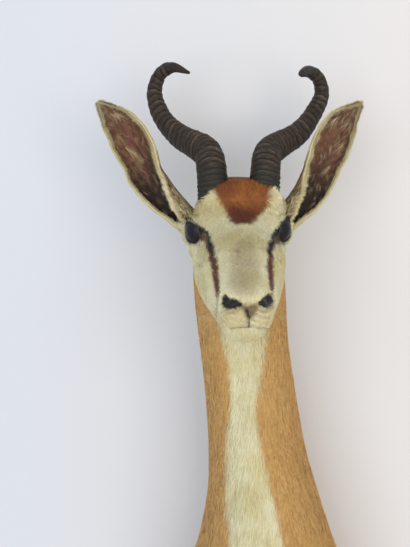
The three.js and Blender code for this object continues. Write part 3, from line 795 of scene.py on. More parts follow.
# The showiest wisps in the cup: share of its length, place across from the outer rim at -1, turn, length
EAR_WISPS = {
    "left": [(0.8, 0.15, 0.2, 15), (0.78, 0.2, 0.2, 15), (0.6, -0.3, 0.1, 24), (0.62, -0.38, 0.1, 26),
             (0.64, -0.75, 0.7, 11), (0.67, -0.7, 0.8, 12)],
    "right": [(0.76, 0.42, -0.1, 22), (0.74, 0.36, -0.1, 24), (0.66, -0.55, 0.25, 24), (0.64, -0.6, 0.3, 22),
              (0.78, -0.5, 0.1, 12), (0.5, -0.5, 0.2, 20)],
}


def ear_shell(which):
    """An ear's cup: an arc swept along its middle line, with an inner face that has three lengthwise ridges,
    and a waved rim. Returns the piece, for each point its place across and along, whether it is inside and
    how near the tip it is, and the grids of points of the outer and the inner face."""
    shares = np.concatenate([np.linspace(0.02, 0.9, 62), np.linspace(0.91, 0.998, 16)])
    spot, opens, across = ear_frames(which, shares)
    half, depth = rows_at(EAR_SECTIONS, shares).T
    by_horn, outside = rows_at(EAR_RIMS, shares).T
    medial = 1 if which == "left" else -1
    arc = np.linspace(-1, 1, EAR_COLUMNS)
    wave = 0.6 * np.sin(shares * 31) + 0.5 * np.sin(shares * 53 + 1)

    def face(wall, ridges):
        """One face: across by (half - wall) sin, and against the opening by (depth - wall) cos, of the arc's
        angle."""
        thin = np.minimum(np.minimum(wall, 0.42 * half), 0.42 * depth)
        turn = np.radians(np.where(arc * medial > 0, by_horn[:, None], outside[:, None])) * arc
        rim = 1 + (np.abs(arc) ** 8)[None, :] * (wave / 40)[:, None]
        lobe = ridges * sum(hill(arc, at, 0.09) for at in EAR_RIDGES)[None, :]
        lobe = lobe * (ramp(shares, 0.3, 0.45) * (1 - ramp(shares, 0.8, 0.95)))[:, None]
        reach_x = ((half - thin)[:, None] - lobe) * np.sin(turn) * rim
        reach_y = ((depth - thin)[:, None] - lobe) * np.cos(turn) * rim
        return spot[:, None] + across[:, None] * reach_x[..., None] - opens[:, None] * reach_y[..., None]

    outer, inner = face(EAR_INSET, 0), face(EAR_WALL, 1.0)
    edge_a = (outer[:, -1:] + inner[:, -1:]) / 2 + opens[:, None] * 0.7
    edge_b = (outer[:, :1] + inner[:, :1]) / 2 + opens[:, None] * 0.7
    rings = np.concatenate([outer, edge_a, inner[:, ::-1], edge_b], axis=1)
    piece = tube_of(f"ear_{which}", rings)
    spread = np.concatenate([arc, [1], arc[::-1], [-1]])
    within = np.concatenate([np.zeros(EAR_COLUMNS), [0.4], np.ones(EAR_COLUMNS), [0.4]])
    bald = ramp(shares, 0.972, 0.985) * (which == "left")
    table = np.stack([np.tile(spread / 2 + 0.5, len(shares)), np.repeat(shares, len(spread)),
                      np.tile(within, len(shares)), np.repeat(bald, len(spread))], 1)
    return piece, np.vstack([table, [[0.5, 0, 0, 0], [0.5, 1, 0, bald[-1]]]]), outer, inner


# Horns

HORN_AROUND = 64  # points round a horn
RING_CREST = 0.74  # the share of a ring's length over which it rises


def horn_piece(which):
    """A horn: ovals along its path whose radius swells at each ring. A ring rises over most of its length,
    ends in a short step, is higher in front, and wavers round the horn. Returns the piece and its points'
    places and rise."""
    shares = np.concatenate([np.linspace(0, 0.9, 560, endpoint=False), np.linspace(0.9, 1, 50)])
    spot, direction, length = path_frames(horn_seated(which), shares)
    side = unit(RIGHT - (direction @ RIGHT)[:, None] * direction)
    other = np.cross(direction, side)
    turn = np.linspace(0, 2 * math.pi, HORN_AROUND, endpoint=False)
    seed = 3 if which == "left" else 8
    places = np.stack([np.cos(turn) * 9, np.sin(turn) * 9], 1)
    flat = np.stack([np.tile(places[:, 0], len(shares)), np.tile(places[:, 1], len(shares)),
                     np.repeat(shares * length * 0.6, HORN_AROUND)], 1)
    waver = (ripple(flat, 15, seed) * 0.2 + ripple(flat, 6, seed + 1) * 0.08).reshape(-1, HORN_AROUND)
    ring = rows_at(RING_PLACES, np.minimum(shares, 0.9))
    ring = ring + waver + 0.1 * np.cos(2 * turn + 0.5)[None, :]
    part = ring % 1
    rise = np.where(part < RING_CREST, ramp(part, 0.0, RING_CREST) ** 0.8, 1 - ramp(part, RING_CREST, 1.0))
    number = np.floor(ring)
    uneven = 0.72 + 0.28 * np.sin(number * 2.1 + seed) * np.cos(number * 0.9)
    front = 0.82 + 0.18 * np.cos(turn + math.pi / 2)[None, :] ** 2
    fade = (1 - ramp(shares, 0.84, 0.93))[:, None]
    height = rise * uneven * front * fade
    fibres = 0.012 * np.sin(turn * 17 + seed)[None, :] * (1 - fade * 0.3)
    hairlines = 0.006 * np.sin(ring * 2 * math.pi * 4) * fade
    thick = horn_radius(which, shares) * (1 + 0.09 * hill(shares, 0.66, 0.2))
    radius = thick[:, None] * (0.97 + 0.11 * height + fibres + hairlines)
    rings = spot[:, None] + side[:, None] * (radius * np.cos(turn))[..., None]
    rings = rings + other[:, None] * (HORN_DEPTH_RATIO * radius * np.sin(turn))[..., None]
    piece = tube_of(f"horn_{which}_keratin", rings)
    table = np.stack([np.repeat(shares, HORN_AROUND), height.ravel(), np.tile(turn, len(shares))], 1)
    return piece, np.vstack([table, [[0, 0, 0], [1, 0, 0]]])


# Eyes and lids

EYE_INSET = 0.15
EYE_AROUND = 72  # points round an eye, and round its lids
LIDS_AROUND = 96
# Where the upper lid hangs lowest round the eye, and how wide that place is, in radians
LID_HANG = (2.5, 0.8)
LID_DARK_ROWS = 4  # rows of the lids' profile that are bare dark skin
# From under the lids' edge out into the face: angle past the edge, height over the eye's ball
LID_PROFILE = [
    [0.16, -0.6], [0.05, 0.1], [0.0, 0.6], [0.03, 1.2], [0.1, 1.6], [0.2, 1.7], [0.34, 1.4], [0.5, 0.6],
    [0.66, -0.8], [0.78, -3], [0.5, -5], [0.3, -4.5],
]


def eye_ball(which):
    """A glass eye's front: circles of radius r sin(angle), from where it looks to behind its lids. Returns
    the piece, and for each point its angle from where the eye looks."""
    middle, *directions = eye_place(which)
    polar = np.linspace(0.02, 2.0, 40)[:, None, None]
    turn = np.linspace(0, 2 * math.pi, EYE_AROUND, endpoint=False)[None, :, None]
    rings = middle + (EYE_RADIUS - EYE_INSET) * on_ball(polar, turn, *directions)
    return tube_of(f"eye_{which}_glass", rings), np.append(np.repeat(polar.ravel(), EYE_AROUND), [0, 2])


def lid_edge(turn):
    """Angle from where an eye looks to the lids' edge: wide towards the corners, most so at the nose, and
    low above and below, lowest where the upper lid hangs at the back."""
    corner = np.abs(np.cos(turn)) ** 1.6
    low = np.where(np.sin(turn) > 0, 0.68, 0.76)
    edge = low + (np.where(np.cos(turn) < 0, 0.8, 1.12) - low) * corner
    return edge - 0.18 * hill(np.mod(turn, 2 * math.pi), *LID_HANG)


def lids(which):
    """Both lids as one ring of skin: from under their edge on the ball, round the edge, and out into the
    face. Returns the piece, and for each point its row in the lids' profile."""
    middle, *directions = eye_place(which)
    turn = np.linspace(0, 2 * math.pi, LIDS_AROUND, endpoint=False)
    edge = lid_edge(turn)
    brow = 1 + 0.25 * np.clip(np.sin(turn), 0, 1)
    rings = []
    for wide, rise in LID_PROFILE:
        polar = edge + wide * (1 + 0.35 * hill(turn, *LID_HANG))
        far = EYE_RADIUS + np.where(rise > 0, rise * brow, rise)[:, None]
        rings.append(middle + far * on_ball(polar[:, None], turn[:, None], *directions))
    rows = len(rings)
    faces = grid_faces(rows, LIDS_AROUND, True).tolist() + closing_faces(rows, LIDS_AROUND)
    piece = mesh_of(f"lids_{which}", np.concatenate(rings), faces)
    turn_out(piece)
    return piece, np.repeat(np.arange(rows), LIDS_AROUND)


# Hair

def scatter(piece, count, keep):
    """Chance places on a piece, each in a face drawn by area times keep of its middle: points and directions
    out."""
    points, triangles, normals = triangles_of(piece.data)
    a, b, c = (points[triangles[:, k]] for k in range(3))
    square = np.cross(b - a, c - a)
    area = np.linalg.norm(square, axis=1) * keep((a + b + c) / 3, unit(square))
    face = np.searchsorted(np.cumsum(area) / area.sum(), random.random(count))
    u, v = random.random((2, count))
    u, v = np.where(u + v > 1, 1 - u, u), np.where(u + v > 1, 1 - v, v)
    share = np.stack([1 - u - v, u, v], 1)[:, :, None]
    corners = triangles[np.clip(face, 0, len(triangles) - 1)]
    return (points[corners] * share).sum(1), unit((normals[corners] * share).sum(1))


def lie(points, normals):
    """The way that the coat lies: down the neck and away from the throat, down the forehead, up and outwards
    from the nose, back and down over the cheeks, up over the horns' bases, and always along the skin."""
    along, side, out = in_face(points)
    rest = points - HEAD_ORIGIN
    back, up = rest @ BACK, rest @ UP
    sign = np.sign(side) * ramp(np.abs(side), 0, 10)
    down = -UP + 0.16 * np.sign(points[:, :1] + 20) * ramp(np.abs(points[:, :1] + 20), 0, 40) * RIGHT
    brow = ALONG + 0.25 * (side / 45)[:, None] * RIGHT
    nose = -0.75 * ALONG + sign[:, None] * 0.45 * RIGHT - 0.1 * UP
    blends = [
        (nose, ramp(along, 62, 104)),
        (0.7 * sign[:, None] * RIGHT - UP, ramp(along, 158, 170) * (1 - ramp(out, -22, -12))),
        (0.75 * BACK - 0.75 * UP,
         ramp(np.abs(side), 26, 42) * ramp(-out, 18, 40) * (1 - ramp(along, 110, 150))),
        (0.8 * BACK - 0.5 * UP, ramp(back, 18, 40)),
        (UP + 0.5 * (side / 30)[:, None] * RIGHT, ramp(up, -10, 4) * (np.abs(side) < 50) * (back < 16)),
        (down, 1 - ramp(up, -150, -118) * (1 - ramp(back - 0.35 * (up + 150), 26, 60))),
    ]
    way = brow
    for turned, weight in blends:
        way = way * (1 - weight[:, None]) + turned * weight[:, None]
    return unit(way - (way * normals).sum(1, keepdims=True) * normals)


def hairs(name, roots, normals, ways, length, width, lift, coats, shades, spread):
    """Blades of hair of three triangles each: two corners at the root, two halfway, and a tip. A blade
    leaves the skin along its way plus lift times the direction out, swung a little by chance, and bends
    back."""
    count = len(roots)
    swing = random.normal(0, spread, (count, 1)) + 1.2 * spread * ripple(roots, 13, 21)[:, None]
    beside = np.cross(normals, ways)
    way = unit(ways + beside * swing)
    beside = np.cross(normals, way)
    twist = random.normal(0, 0.55, (count, 1))
    flat = beside * np.cos(twist) + normals * np.sin(twist)
    length = (np.broadcast_to(length, count) * random.uniform(0.7, 1.25, count))[:, None]
    width = (np.broadcast_to(width, count) * random.uniform(0.75, 1.25, count))[:, None]
    lift = (np.broadcast_to(lift, count) * random.uniform(0.5, 1.5, count))[:, None]
    curl = random.normal(0, 0.05, (count, 1))
    root = roots - normals * 0.5
    middle = roots + way * length * 0.5 + normals * (length * lift) + beside * curl * length
    tip = roots + way * length + normals * (length * lift * 1.25) + beside * curl * 3 * length
    half = flat * width / 2
    blades = [root - half, root + half, middle - half * 0.8, middle + half * 0.8, tip]
    points = np.stack(blades, 1).reshape(-1, 3)
    points[:, 1] = np.minimum(points[:, 1], -WALL_GAP)
    first = np.arange(count)[:, None] * 5
    corners = (first + np.array([0, 1, 3, 2, 2, 3, 4])).ravel()
    mesh = bpy.data.meshes.new(name)
    mesh.vertices.add(len(points))
    mesh.vertices.foreach_set("co", (points / 1000).astype(np.float32).ravel())
    mesh.loops.add(len(corners))
    mesh.loops.foreach_set("vertex_index", corners.astype(np.int32))
    mesh.polygons.add(count * 2)
    starts = np.arange(count)[:, None] * 7 + np.array([0, 4])
    mesh.polygons.foreach_set("loop_start", starts.ravel().astype(np.int32))
    mesh.update(calc_edges=True)
    cells = math.ceil(math.sqrt(count))
    cell = np.stack([np.arange(count) % cells, np.arange(count) // cells], 1)[:, None]
    lower = [[0.1, 0.1], [0.9, 0.1], [0.8, 0.55], [0.2, 0.55]]
    upper = [[0.2, 0.55], [0.8, 0.55], [0.5, 0.95]]
    spot = np.array(lower + upper)
    layer = mesh.uv_layers.new(name="OFBake")
    layer.data.foreach_set("uv", ((cell + spot) / cells).astype(np.float32).ravel())
    piece = bpy.data.objects.new(name, mesh)
    bpy.context.scene.collection.objects.link(piece)
    give(piece, "coat", np.repeat(coats, 5, axis=0))
    blade = np.tile([0, 0, 0.6, 0.6, 1], count)
    give(piece, "blade", np.stack([blade, np.repeat(shades, 5), blade * 0, blade * 0 + 1], 1))
    return piece


def clear_of_horns(points):
    """1 outside the horns' bases and 0 inside them, by the distance from their middle lines."""
    free = np.ones(len(points))
    for which in HORN_PATHS:
        spots = path_frames(horn_seated(which), np.linspace(0, 0.22, 24))[0]
        free *= ramp(spot_distance(points, spots), 16, 17.5)
    return free


def clear_of_eyes(points):
    """1 outside the lids' opening and 0 inside it."""
    free = np.ones(len(points))
    for which in EYES:
        middle, look, nose, lift = eye_place(which)
        away = points - middle
        polar = np.arctan2(np.hypot(away @ nose, away @ lift), away @ look)
        turn = np.arctan2(away @ lift, away @ nose)
        near = np.linalg.norm(away, axis=1) < 26
        free *= 1 - near * (1 - ramp(polar, lid_edge(turn) + 0.02, lid_edge(turn) + 0.1))
    return free


def bare_skin(points, normals):
    """1 where the coat grows and less on nostrils, nose pad, eyes and horn bases."""
    marks = coat(points, normals)
    pixels = in_frame(points)
    muzzle = in_face(points)[0] > MUZZLE_FROM
    nose = inside(pixels, NOSE_PAD, 1.0) * muzzle * 0.85
    bald = np.maximum(nose, marks[:, 3] * muzzle)
    return (1 - 0.95 * np.maximum(bald, in_ear_cup(points))) * clear_of_horns(points) * clear_of_eyes(points)


def on_grid(grid, rows, columns):
    """Points on a grid of points at places counted in its rows and columns: the mean of the four corners
    around, weighed by nearness, with the direction out of the cell, and its directions along and across."""
    r = np.clip(rows.astype(int), 0, grid.shape[0] - 2)
    c = np.clip(columns.astype(int), 0, grid.shape[1] - 2)
    u, v = (rows - r)[:, None], (columns - c)[:, None]
    a, b, d, e = grid[r, c], grid[r, c + 1], grid[r + 1, c], grid[r + 1, c + 1]
    point = (a * (1 - v) + b * v) * (1 - u) + (d * (1 - v) + e * v) * u
    along, across = unit(d + e - a - b), unit(b + e - a - d)
    return point, unit(np.cross(along, across)), along, across


def shades_of(tan, rufous, brown, black):
    """Four shares of the coat's colours side by side, each a number or one for each hair."""
    tones = np.broadcast_arrays(*(np.atleast_1d(tone) for tone in (tan, rufous, brown, black)))
    return np.stack(tones, 1).astype(float)


def ear_hair(which, outer, inner):
    """Hair of an ear. Short cream hair lies towards the tip outside, olive brown on the inner side of the
    root, partly its own colour and partly painted shade by the head. A soft fringe stands out along both
    rims, thin dark hair lies inside them, darker low in the cup as painted shade, and pale wisps lie in
    the cup."""
    medial = 1 if which == "left" else -1
    last_row, last_column = outer.shape[0] - 1, EAR_COLUMNS - 1
    roots, outs, ways, sizes, widths, lifts, coats = [], [], [], [], [], [], []

    def lay(point, out, way, size, width, lift, tones):
        """Adds hairs with their lengths, widths, lifts and tones."""
        count = len(point)
        roots.append(point)
        outs.append(out)
        ways.append(unit(way - (way * out).sum(1, keepdims=True) * out))
        sizes.append(np.broadcast_to(size, count))
        widths.append(np.broadcast_to(width, count))
        lifts.append(np.broadcast_to(lift, count))
        coats.append(np.broadcast_to(tones, (count, 4)))

    count = int(OUTER_EAR_HAIRS * HAIR_SHARE)
    rows, columns = random.random(count) * last_row, random.random(count) * last_column
    point, out, along, across = on_grid(outer, rows, columns)
    arc = columns / last_column * 2 - 1
    up_ear = rows / last_row
    # olive-brown hair, and painted shade where the ear's root meets the head
    dusk_and_shade = ramp(arc * medial, 0.1, 0.55) * (1 - ramp(arc * medial, 0.88, 1.0))
    dusk_and_shade = dusk_and_shade * (1 - ramp(up_ear, 0.34, 0.52))
    dusk_and_shade = dusk_and_shade * np.clip(0.9 + 0.35 * ripple(point, 9, 12) + random.normal(0, 0.1, count), 0, 1.2)
    tones = np.clip(shades_of(0.12 + 0.75 * dusk_and_shade, 0, 0.45 * dusk_and_shade, 0.66 * dusk_and_shade), 0, 1)
    keep = (up_ear <= 0.965) | (which == "right")
    way = along + across * (arc * 0.4)[:, None]
    lay(point[keep], out[keep], way[keep], size=5.5, width=0.46, lift=0.1, tones=tones[keep])

    count = int(FRINGE_HAIRS * HAIR_SHARE)
    end = np.where(random.random(count) < 0.5, -1, 1)
    rows = random.random(count) * last_row * 0.97
    up_ear = rows / last_row
    arc = end * (1 - (0.03 + 0.03 * ramp(up_ear, 0.3, 0.55)) * random.random(count) ** 1.3)
    point, out, along, across = on_grid(inner, rows, (arc + 1) / 2 * last_column)
    outward = across * end[:, None]
    size = 3.0 + 2.0 * ramp(up_ear, 0.2, 0.5) + 2 * random.random(count)
    size = size * (1 + 0.25 * ripple(point, 5, 17))
    way = outward * (0.8 + 0.25 * ripple(point, 4, 19) + random.normal(0, 0.4, count))[:, None] + along * 0.8
    lay(point, -out, way, size, width=0.36, lift=random.uniform(0.05, 0.34, count),
        tones=shades_of(0.3 * random.random(count), 0, 0.2 * (random.random(count) < 0.15), 0))

    count = int(CUP_HAIRS * HAIR_SHARE)
    end = np.where(random.random(count) < 0.5, -1, 1)
    rows = (0.1 + 0.86 * random.random(count)) * last_row
    arc = end * random.random(count) ** 0.85 * 0.93
    point, out, along, across = on_grid(inner, rows, (arc + 1) / 2 * last_column)
    tone = np.clip(ripple(point, 9, 31) * 0.5 + 0.5 + random.normal(0, 0.2, count), 0, 1)
    # painted shade: hairs low in the cup are darker
    low = 1 - ramp(rows / last_row, 0.3, 0.55)
    way = along + across * (0.5 * end + random.normal(0, 0.3, count))[:, None]
    black = np.clip(0.35 * tone + 0.75 * low, 0, 0.92)
    lay(point, -out, way, size=6.5, width=0.34, lift=0.08,
        tones=shades_of(0.6, 0.35 * (1 - tone), 0.5 + 0.45 * tone, black))

    small = np.stack([random.uniform(0.2, 0.93, WISPS), random.uniform(-0.85, 0.8, WISPS),
                      random.normal(0, 0.4, WISPS), random.uniform(6, 17, WISPS)], 1)
    for number, (at, arc, turned, long) in enumerate([*EAR_WISPS[which], *small]):
        showy = number < len(EAR_WISPS[which])
        count = max(int(WISP_HAIRS * HAIR_SHARE), 4)
        rows = (at + random.normal(0, 0.006, count)) * last_row
        columns = np.clip((arc * medial + random.normal(0, 0.014, count) + 1) / 2, 0.04, 0.96) * last_column
        point, out, along, across = on_grid(inner, np.clip(rows, 1, last_row - 1), columns)
        way = -along + across * (medial * turned + random.normal(0, 0.05, count))[:, None]
        pale = 1.0 if showy else random.uniform(0, 0.75)
        tones = shades_of(0.3, 0.2 * (1 - pale), 0.85 - 0.7 * pale, 0)
        lay(point, -out, way, size=long, width=0.34, lift=0.07, tones=tones)
    laid = [np.concatenate(values) for values in (roots, outs, ways, sizes, widths, lifts, coats)]
    return hairs(f"ear_hair_{which}", *laid, random.random(len(laid[0])), 0.2)


def lashes(which):
    """Eyelashes: a row of dark hairs along the outer upper lid, and a few long pale feelers below the
    eye."""
    middle, look, nose, lift = eye_place(which)
    turn = np.concatenate([random.uniform(0.9, 2.9, 70), random.uniform(3.3, 4.4, 16)])
    upper = turn < math.pi
    polar = (lid_edge(turn) + np.where(upper, 0.03, 0.4))[:, None]
    ring = np.cos(turn)[:, None] * nose + np.sin(turn)[:, None] * lift
    out = np.cos(polar) * look + np.sin(polar) * ring
    way = np.where(upper[:, None], 0.9 * out + 0.5 * ring + 0.25 * lift, 0.9 * ring + 0.5 * out - 0.2 * UP)
    dark = np.where(upper, 0.95, 0.0)
    return hairs(f"lashes_{which}", middle + out * (EYE_RADIUS + 0.8), unit(np.cross(way, look)), unit(way),
                 np.where(upper, 6.5, 11), np.where(upper, 0.34, 0.26), 0.02,
                 shades_of(0.5, 0, 0.5, dark), random.random(len(turn)), 0.1)


# Finishes

def add(tree, kind, inputs=None, **settings):
    """Adds a node with its settings, and sets or links its inputs by name or number. In a Mix of colours 0,
    6 and 7 are the share and the two colours, and 2 comes out. In a MapRange 0 is the value, 1 and 2 are the
    ends that it goes between, and 3 and 4, or else 0 and 1, are what they become."""
    made = tree.nodes.new("ShaderNode" + kind)
    for key, value in settings.items():
        setattr(made, key, value)
    for key, value in (inputs or {}).items():
        if isinstance(value, bpy.types.NodeSocket):
            tree.links.new(value, made.inputs[key])
        else:
            made.inputs[key].default_value = value
    return made


def finish_named(name, numbers):
    """A material with only its shader, whose plain numbers sit on the shader's own sockets."""
    material = bpy.data.materials.new(name)
    material.use_nodes = True
    tree = material.node_tree
    tree.nodes.clear()
    shader = add(tree, "BsdfPrincipled", numbers)
    add(tree, "OutputMaterial", {"Surface": shader.outputs["BSDF"]})
    return material, tree, shader


CREAM = "#ded9b4"
WARM_CREAM = "#cfc490"
TAN = "#cda564"
TAN_DEEP = "#a3763a"
RUFOUS = "#aa6a29"
RUFOUS_DEEP = "#7d441e"
STRIPE_BROWN = "#551f10"
SKIN_BLACK = "#191617"


def coat_finish(name, of_blades):
    """Short springbok hair: cream, tan, rufous and brown by the coat's own shares, in patches of tone a few
    centimetres wide, each hair its own tone and darker at the root as painted shade, the bare skin under
    the hair darkened as painted shade too, with a soft silky sheen and no gloss."""
    material, tree, shader = finish_named(name, {
        "Roughness": 0.62, "IOR": 1.5, "Specular IOR Level": 0.25,
        "Sheen Weight": 0.12, "Sheen Roughness": 0.5,
    })
    place = add(tree, "TexCoord").outputs["Object"]
    shares = add(tree, "Attribute", attribute_name="coat")
    split = add(tree, "SeparateColor", {0: shares.outputs["Color"]})
    broad = add(tree, "TexNoise", {"Vector": place, "Scale": 32.0, "Detail": 3.0}).outputs["Fac"]
    fine = add(tree, "TexNoise", {"Vector": place, "Scale": 260.0, "Detail": 2.0}).outputs["Fac"]
    warm = add(tree, "MapRange", {0: broad, 1: 0.38, 2: 0.72}).outputs[0]
    deep = add(tree, "MapRange", {0: fine, 1: 0.35, 2: 0.75}).outputs[0]
    cream = add(tree, "Mix", {0: warm, 6: linear(CREAM), 7: linear(WARM_CREAM)}, data_type="RGBA").outputs[2]
    wide = add(tree, "TexNoise", {"Vector": place, "Scale": 11.0, "Detail": 2.0}).outputs["Fac"]
    deep = add(tree, "Math", {0: deep, 1: wide}, operation="MULTIPLY").outputs[0]
    tan = add(tree, "Mix", {0: deep, 6: linear(TAN), 7: linear(TAN_DEEP)}, data_type="RGBA").outputs[2]
    red = add(tree, "Mix", {0: warm, 6: linear(RUFOUS_DEEP), 7: linear(RUFOUS)}, data_type="RGBA").outputs[2]
    colour = add(tree, "Mix", {0: split.outputs[0], 6: cream, 7: tan}, data_type="RGBA").outputs[2]
    for amount, code in ((split.outputs[1], red), (split.outputs[2], linear(STRIPE_BROWN)),
                         (shares.outputs["Alpha"], linear(SKIN_BLACK))):
        colour = add(tree, "Mix", {0: amount, 6: colour, 7: code}, data_type="RGBA").outputs[2]
    if of_blades:
        blade = add(tree, "Attribute", attribute_name="blade").outputs["Color"]
        parts = add(tree, "SeparateColor", {0: blade})
        shade = add(tree, "MapRange", {0: parts.outputs[1], 3: 0.86, 4: 1.12}).outputs[0]
        # painted shade: each hair darker towards its root
        root = add(tree, "MapRange", {0: parts.outputs[0], 3: 0.82, 4: 1.06}).outputs[0]
        tone_and_painted_shade = add(tree, "Math", {0: shade, 1: root}, operation="MULTIPLY").outputs[0]
    else:
        # painted shade: the skin under the hair is darker, with a fine random tone
        tone_and_painted_shade = add(tree, "MapRange", {0: fine, 3: 0.62, 4: 0.92}).outputs[0]
    colour = add(tree, "VectorMath", {0: colour, 1: tone_and_painted_shade}, operation="MULTIPLY").outputs[0]
    tree.links.new(colour, shader.inputs["Base Color"])
    if not of_blades:
        bump = add(tree, "Bump", {"Strength": 0.35, "Distance": 0.0008, "Height": fine})
        tree.links.new(bump.outputs[0], shader.inputs["Normal"])
    return material


def horn_finish():
    """Keratin of a grown horn: dull brown-black, darker in the grooves of the rings as painted shade, and
    paler in broken lines along their crests, partly wear and partly painted highlight, with fine fibres,
    smoother at the tip, and green-black at the base."""
    material, tree, shader = finish_named(
        "horn_keratin", {"Roughness": 0.5, "IOR": 1.5, "Specular IOR Level": 0.2})
    place = add(tree, "TexCoord").outputs["Object"]
    table = add(tree, "Attribute", attribute_name="growth")
    parts = add(tree, "SeparateColor", {0: table.outputs["Color"]})
    share, rise = parts.outputs[0], parts.outputs[1]
    grain = add(tree, "TexNoise", {"Vector": place, "Scale": 420.0, "Detail": 4.0}).outputs["Fac"]
    patch = add(tree, "TexNoise", {"Vector": place, "Scale": 75.0, "Detail": 3.0}).outputs["Fac"]
    rounds = add(tree, "Mapping", {"Vector": table.outputs["Color"], "Scale": (190.0, 0.0, 1.6)}).outputs[0]
    lines = add(tree, "TexNoise", {"Vector": rounds, "Scale": 1.0, "Detail": 2.0}).outputs["Fac"]
    body = add(tree, "Mix", {0: patch, 6: linear("#231c17"), 7: linear("#3a3027")},
               data_type="RGBA").outputs[2]
    # painted shade: the grooves between the rings are darkened
    painted_groove_shade = add(tree, "MapRange", {0: rise, 1: 0.34, 2: 0.02, 4: 0.85}).outputs[0]
    dark = add(tree, "Mix", {0: painted_groove_shade, 6: body, 7: linear("#120e0c")}, data_type="RGBA").outputs[2]
    # the crests paler: wear, and painted highlight
    wear_and_highlight = add(tree, "MapRange", {0: rise, 1: 0.5, 2: 0.85}).outputs[0]
    broken = add(tree, "MapRange", {0: patch, 1: 0.4, 2: 0.62, 3: 0.1, 4: 0.8}).outputs[0]
    wear_and_highlight = add(tree, "Math", {0: wear_and_highlight, 1: broken}, operation="MULTIPLY").outputs[0]
    streak = add(tree, "MapRange", {0: lines, 1: 0.52, 2: 0.68, 4: 0.4}).outputs[0]
    wear_and_highlight = add(tree, "Math", {0: wear_and_highlight, 1: streak}, operation="ADD").outputs[0]
    wear_and_highlight = add(tree, "Math", {0: wear_and_highlight, 1: grain}, operation="MULTIPLY", use_clamp=True).outputs[0]
    colour = add(tree, "Mix", {0: wear_and_highlight, 6: dark, 7: linear("#776955")}, data_type="RGBA").outputs[2]
    base = add(tree, "MapRange", {0: share, 1: 0.17, 2: 0.1, 4: 0.8}).outputs[0]
    colour = add(tree, "Mix", {0: base, 6: colour, 7: linear("#24251d")}, data_type="RGBA").outputs[2]
    end = add(tree, "MapRange", {0: share, 1: 0.86, 2: 0.95}).outputs[0]
    colour = add(tree, "Mix", {0: end, 6: colour, 7: linear("#2b231d")}, data_type="RGBA").outputs[2]
    tree.links.new(colour, shader.inputs["Base Color"])
    gloss = add(tree, "MapRange", {0: share, 1: 0.8, 2: 0.96, 3: 0.58, 4: 0.38}).outputs[0]
    tree.links.new(gloss, shader.inputs["Roughness"])
    bump = add(tree, "Bump", {"Strength": 0.5, "Distance": 0.0006, "Height": grain})
    tree.links.new(bump.outputs[0], shader.inputs["Normal"])
    return material


def ear_finish():
    """Thin tanned ear: cream hide outside and along the rim, and inside dry red-brown skin in lengthwise
    streaks, darkened to near black at the edges and the root of the cup as painted shade. One tip has a
    small bald spot of grey skin."""
    material, tree, shader = finish_named(
        "ear_skin", {"Roughness": 0.62, "IOR": 1.5, "Specular IOR Level": 0.3})
    table = add(tree, "Attribute", attribute_name="cup")
    parts = add(tree, "SeparateColor", {0: table.outputs["Color"]})
    across, share, within = parts.outputs
    streaks = add(tree, "Mapping", {"Vector": table.outputs["Color"], "Scale": (9.0, 5.0, 1.0)}).outputs[0]
    noise = add(tree, "TexNoise", {"Vector": streaks, "Scale": 1.0, "Detail": 5.0, "Distortion": 0.5})
    fine = add(tree, "TexNoise", {"Vector": streaks, "Scale": 6.0, "Detail": 3.0}).outputs["Fac"]
    red = add(tree, "MapRange", {0: noise.outputs["Fac"], 1: 0.38, 2: 0.66}).outputs[0]
    skin = add(tree, "Mix", {0: red, 6: linear("#352218"), 7: linear("#73402e")},
               data_type="RGBA").outputs[2]
    pale = add(tree, "MapRange", {0: fine, 1: 0.58, 2: 0.74, 4: 0.55}).outputs[0]
    skin = add(tree, "Mix", {0: pale, 6: skin, 7: linear("#83674f")}, data_type="RGBA").outputs[2]
    middle = add(tree, "Math", {0: across, 1: 0.5}, operation="SUBTRACT").outputs[0]
    apart = add(tree, "Math", {0: middle}, operation="ABSOLUTE").outputs[0]
    # painted shade: the cup darkens to near black towards its edges and its root
    edge = add(tree, "MapRange", {0: apart, 1: 0.24, 2: 0.42}).outputs[0]
    root = add(tree, "MapRange", {0: share, 1: 0.6, 2: 0.38}).outputs[0]
    dark = add(tree, "Math", {0: edge, 1: root}, operation="MAXIMUM").outputs[0]
    dark = add(tree, "Math", {0: dark, 1: 0.86}, operation="MULTIPLY").outputs[0]
    skin = add(tree, "Mix", {0: dark, 6: skin, 7: linear("#1f1611")}, data_type="RGBA").outputs[2]
    rim = add(tree, "MapRange", {0: apart, 1: 0.487, 2: 0.495}).outputs[0]
    tip = add(tree, "MapRange", {0: share, 1: 0.925, 2: 0.955}).outputs[0]
    rim = add(tree, "Math", {0: rim, 1: tip}, operation="MAXIMUM").outputs[0]
    inner = add(tree, "Math", {0: within, 1: rim}, operation="SUBTRACT", use_clamp=True).outputs[0]
    hair = add(tree, "Mix", {0: fine, 6: linear("#d3cba0"), 7: linear("#b0a26e")},
               data_type="RGBA").outputs[2]
    colour = add(tree, "Mix", {0: inner, 6: hair, 7: skin}, data_type="RGBA").outputs[2]
    bald = table.outputs["Alpha"]
    colour = add(tree, "Mix", {0: bald, 6: colour, 7: linear("#77716e")}, data_type="RGBA").outputs[2]
    tree.links.new(colour, shader.inputs["Base Color"])
    bump = add(tree, "Bump", {"Strength": 0.5, "Distance": 0.001, "Height": noise.outputs["Fac"]})
    tree.links.new(bump.outputs[0], shader.inputs["Normal"])
    return material


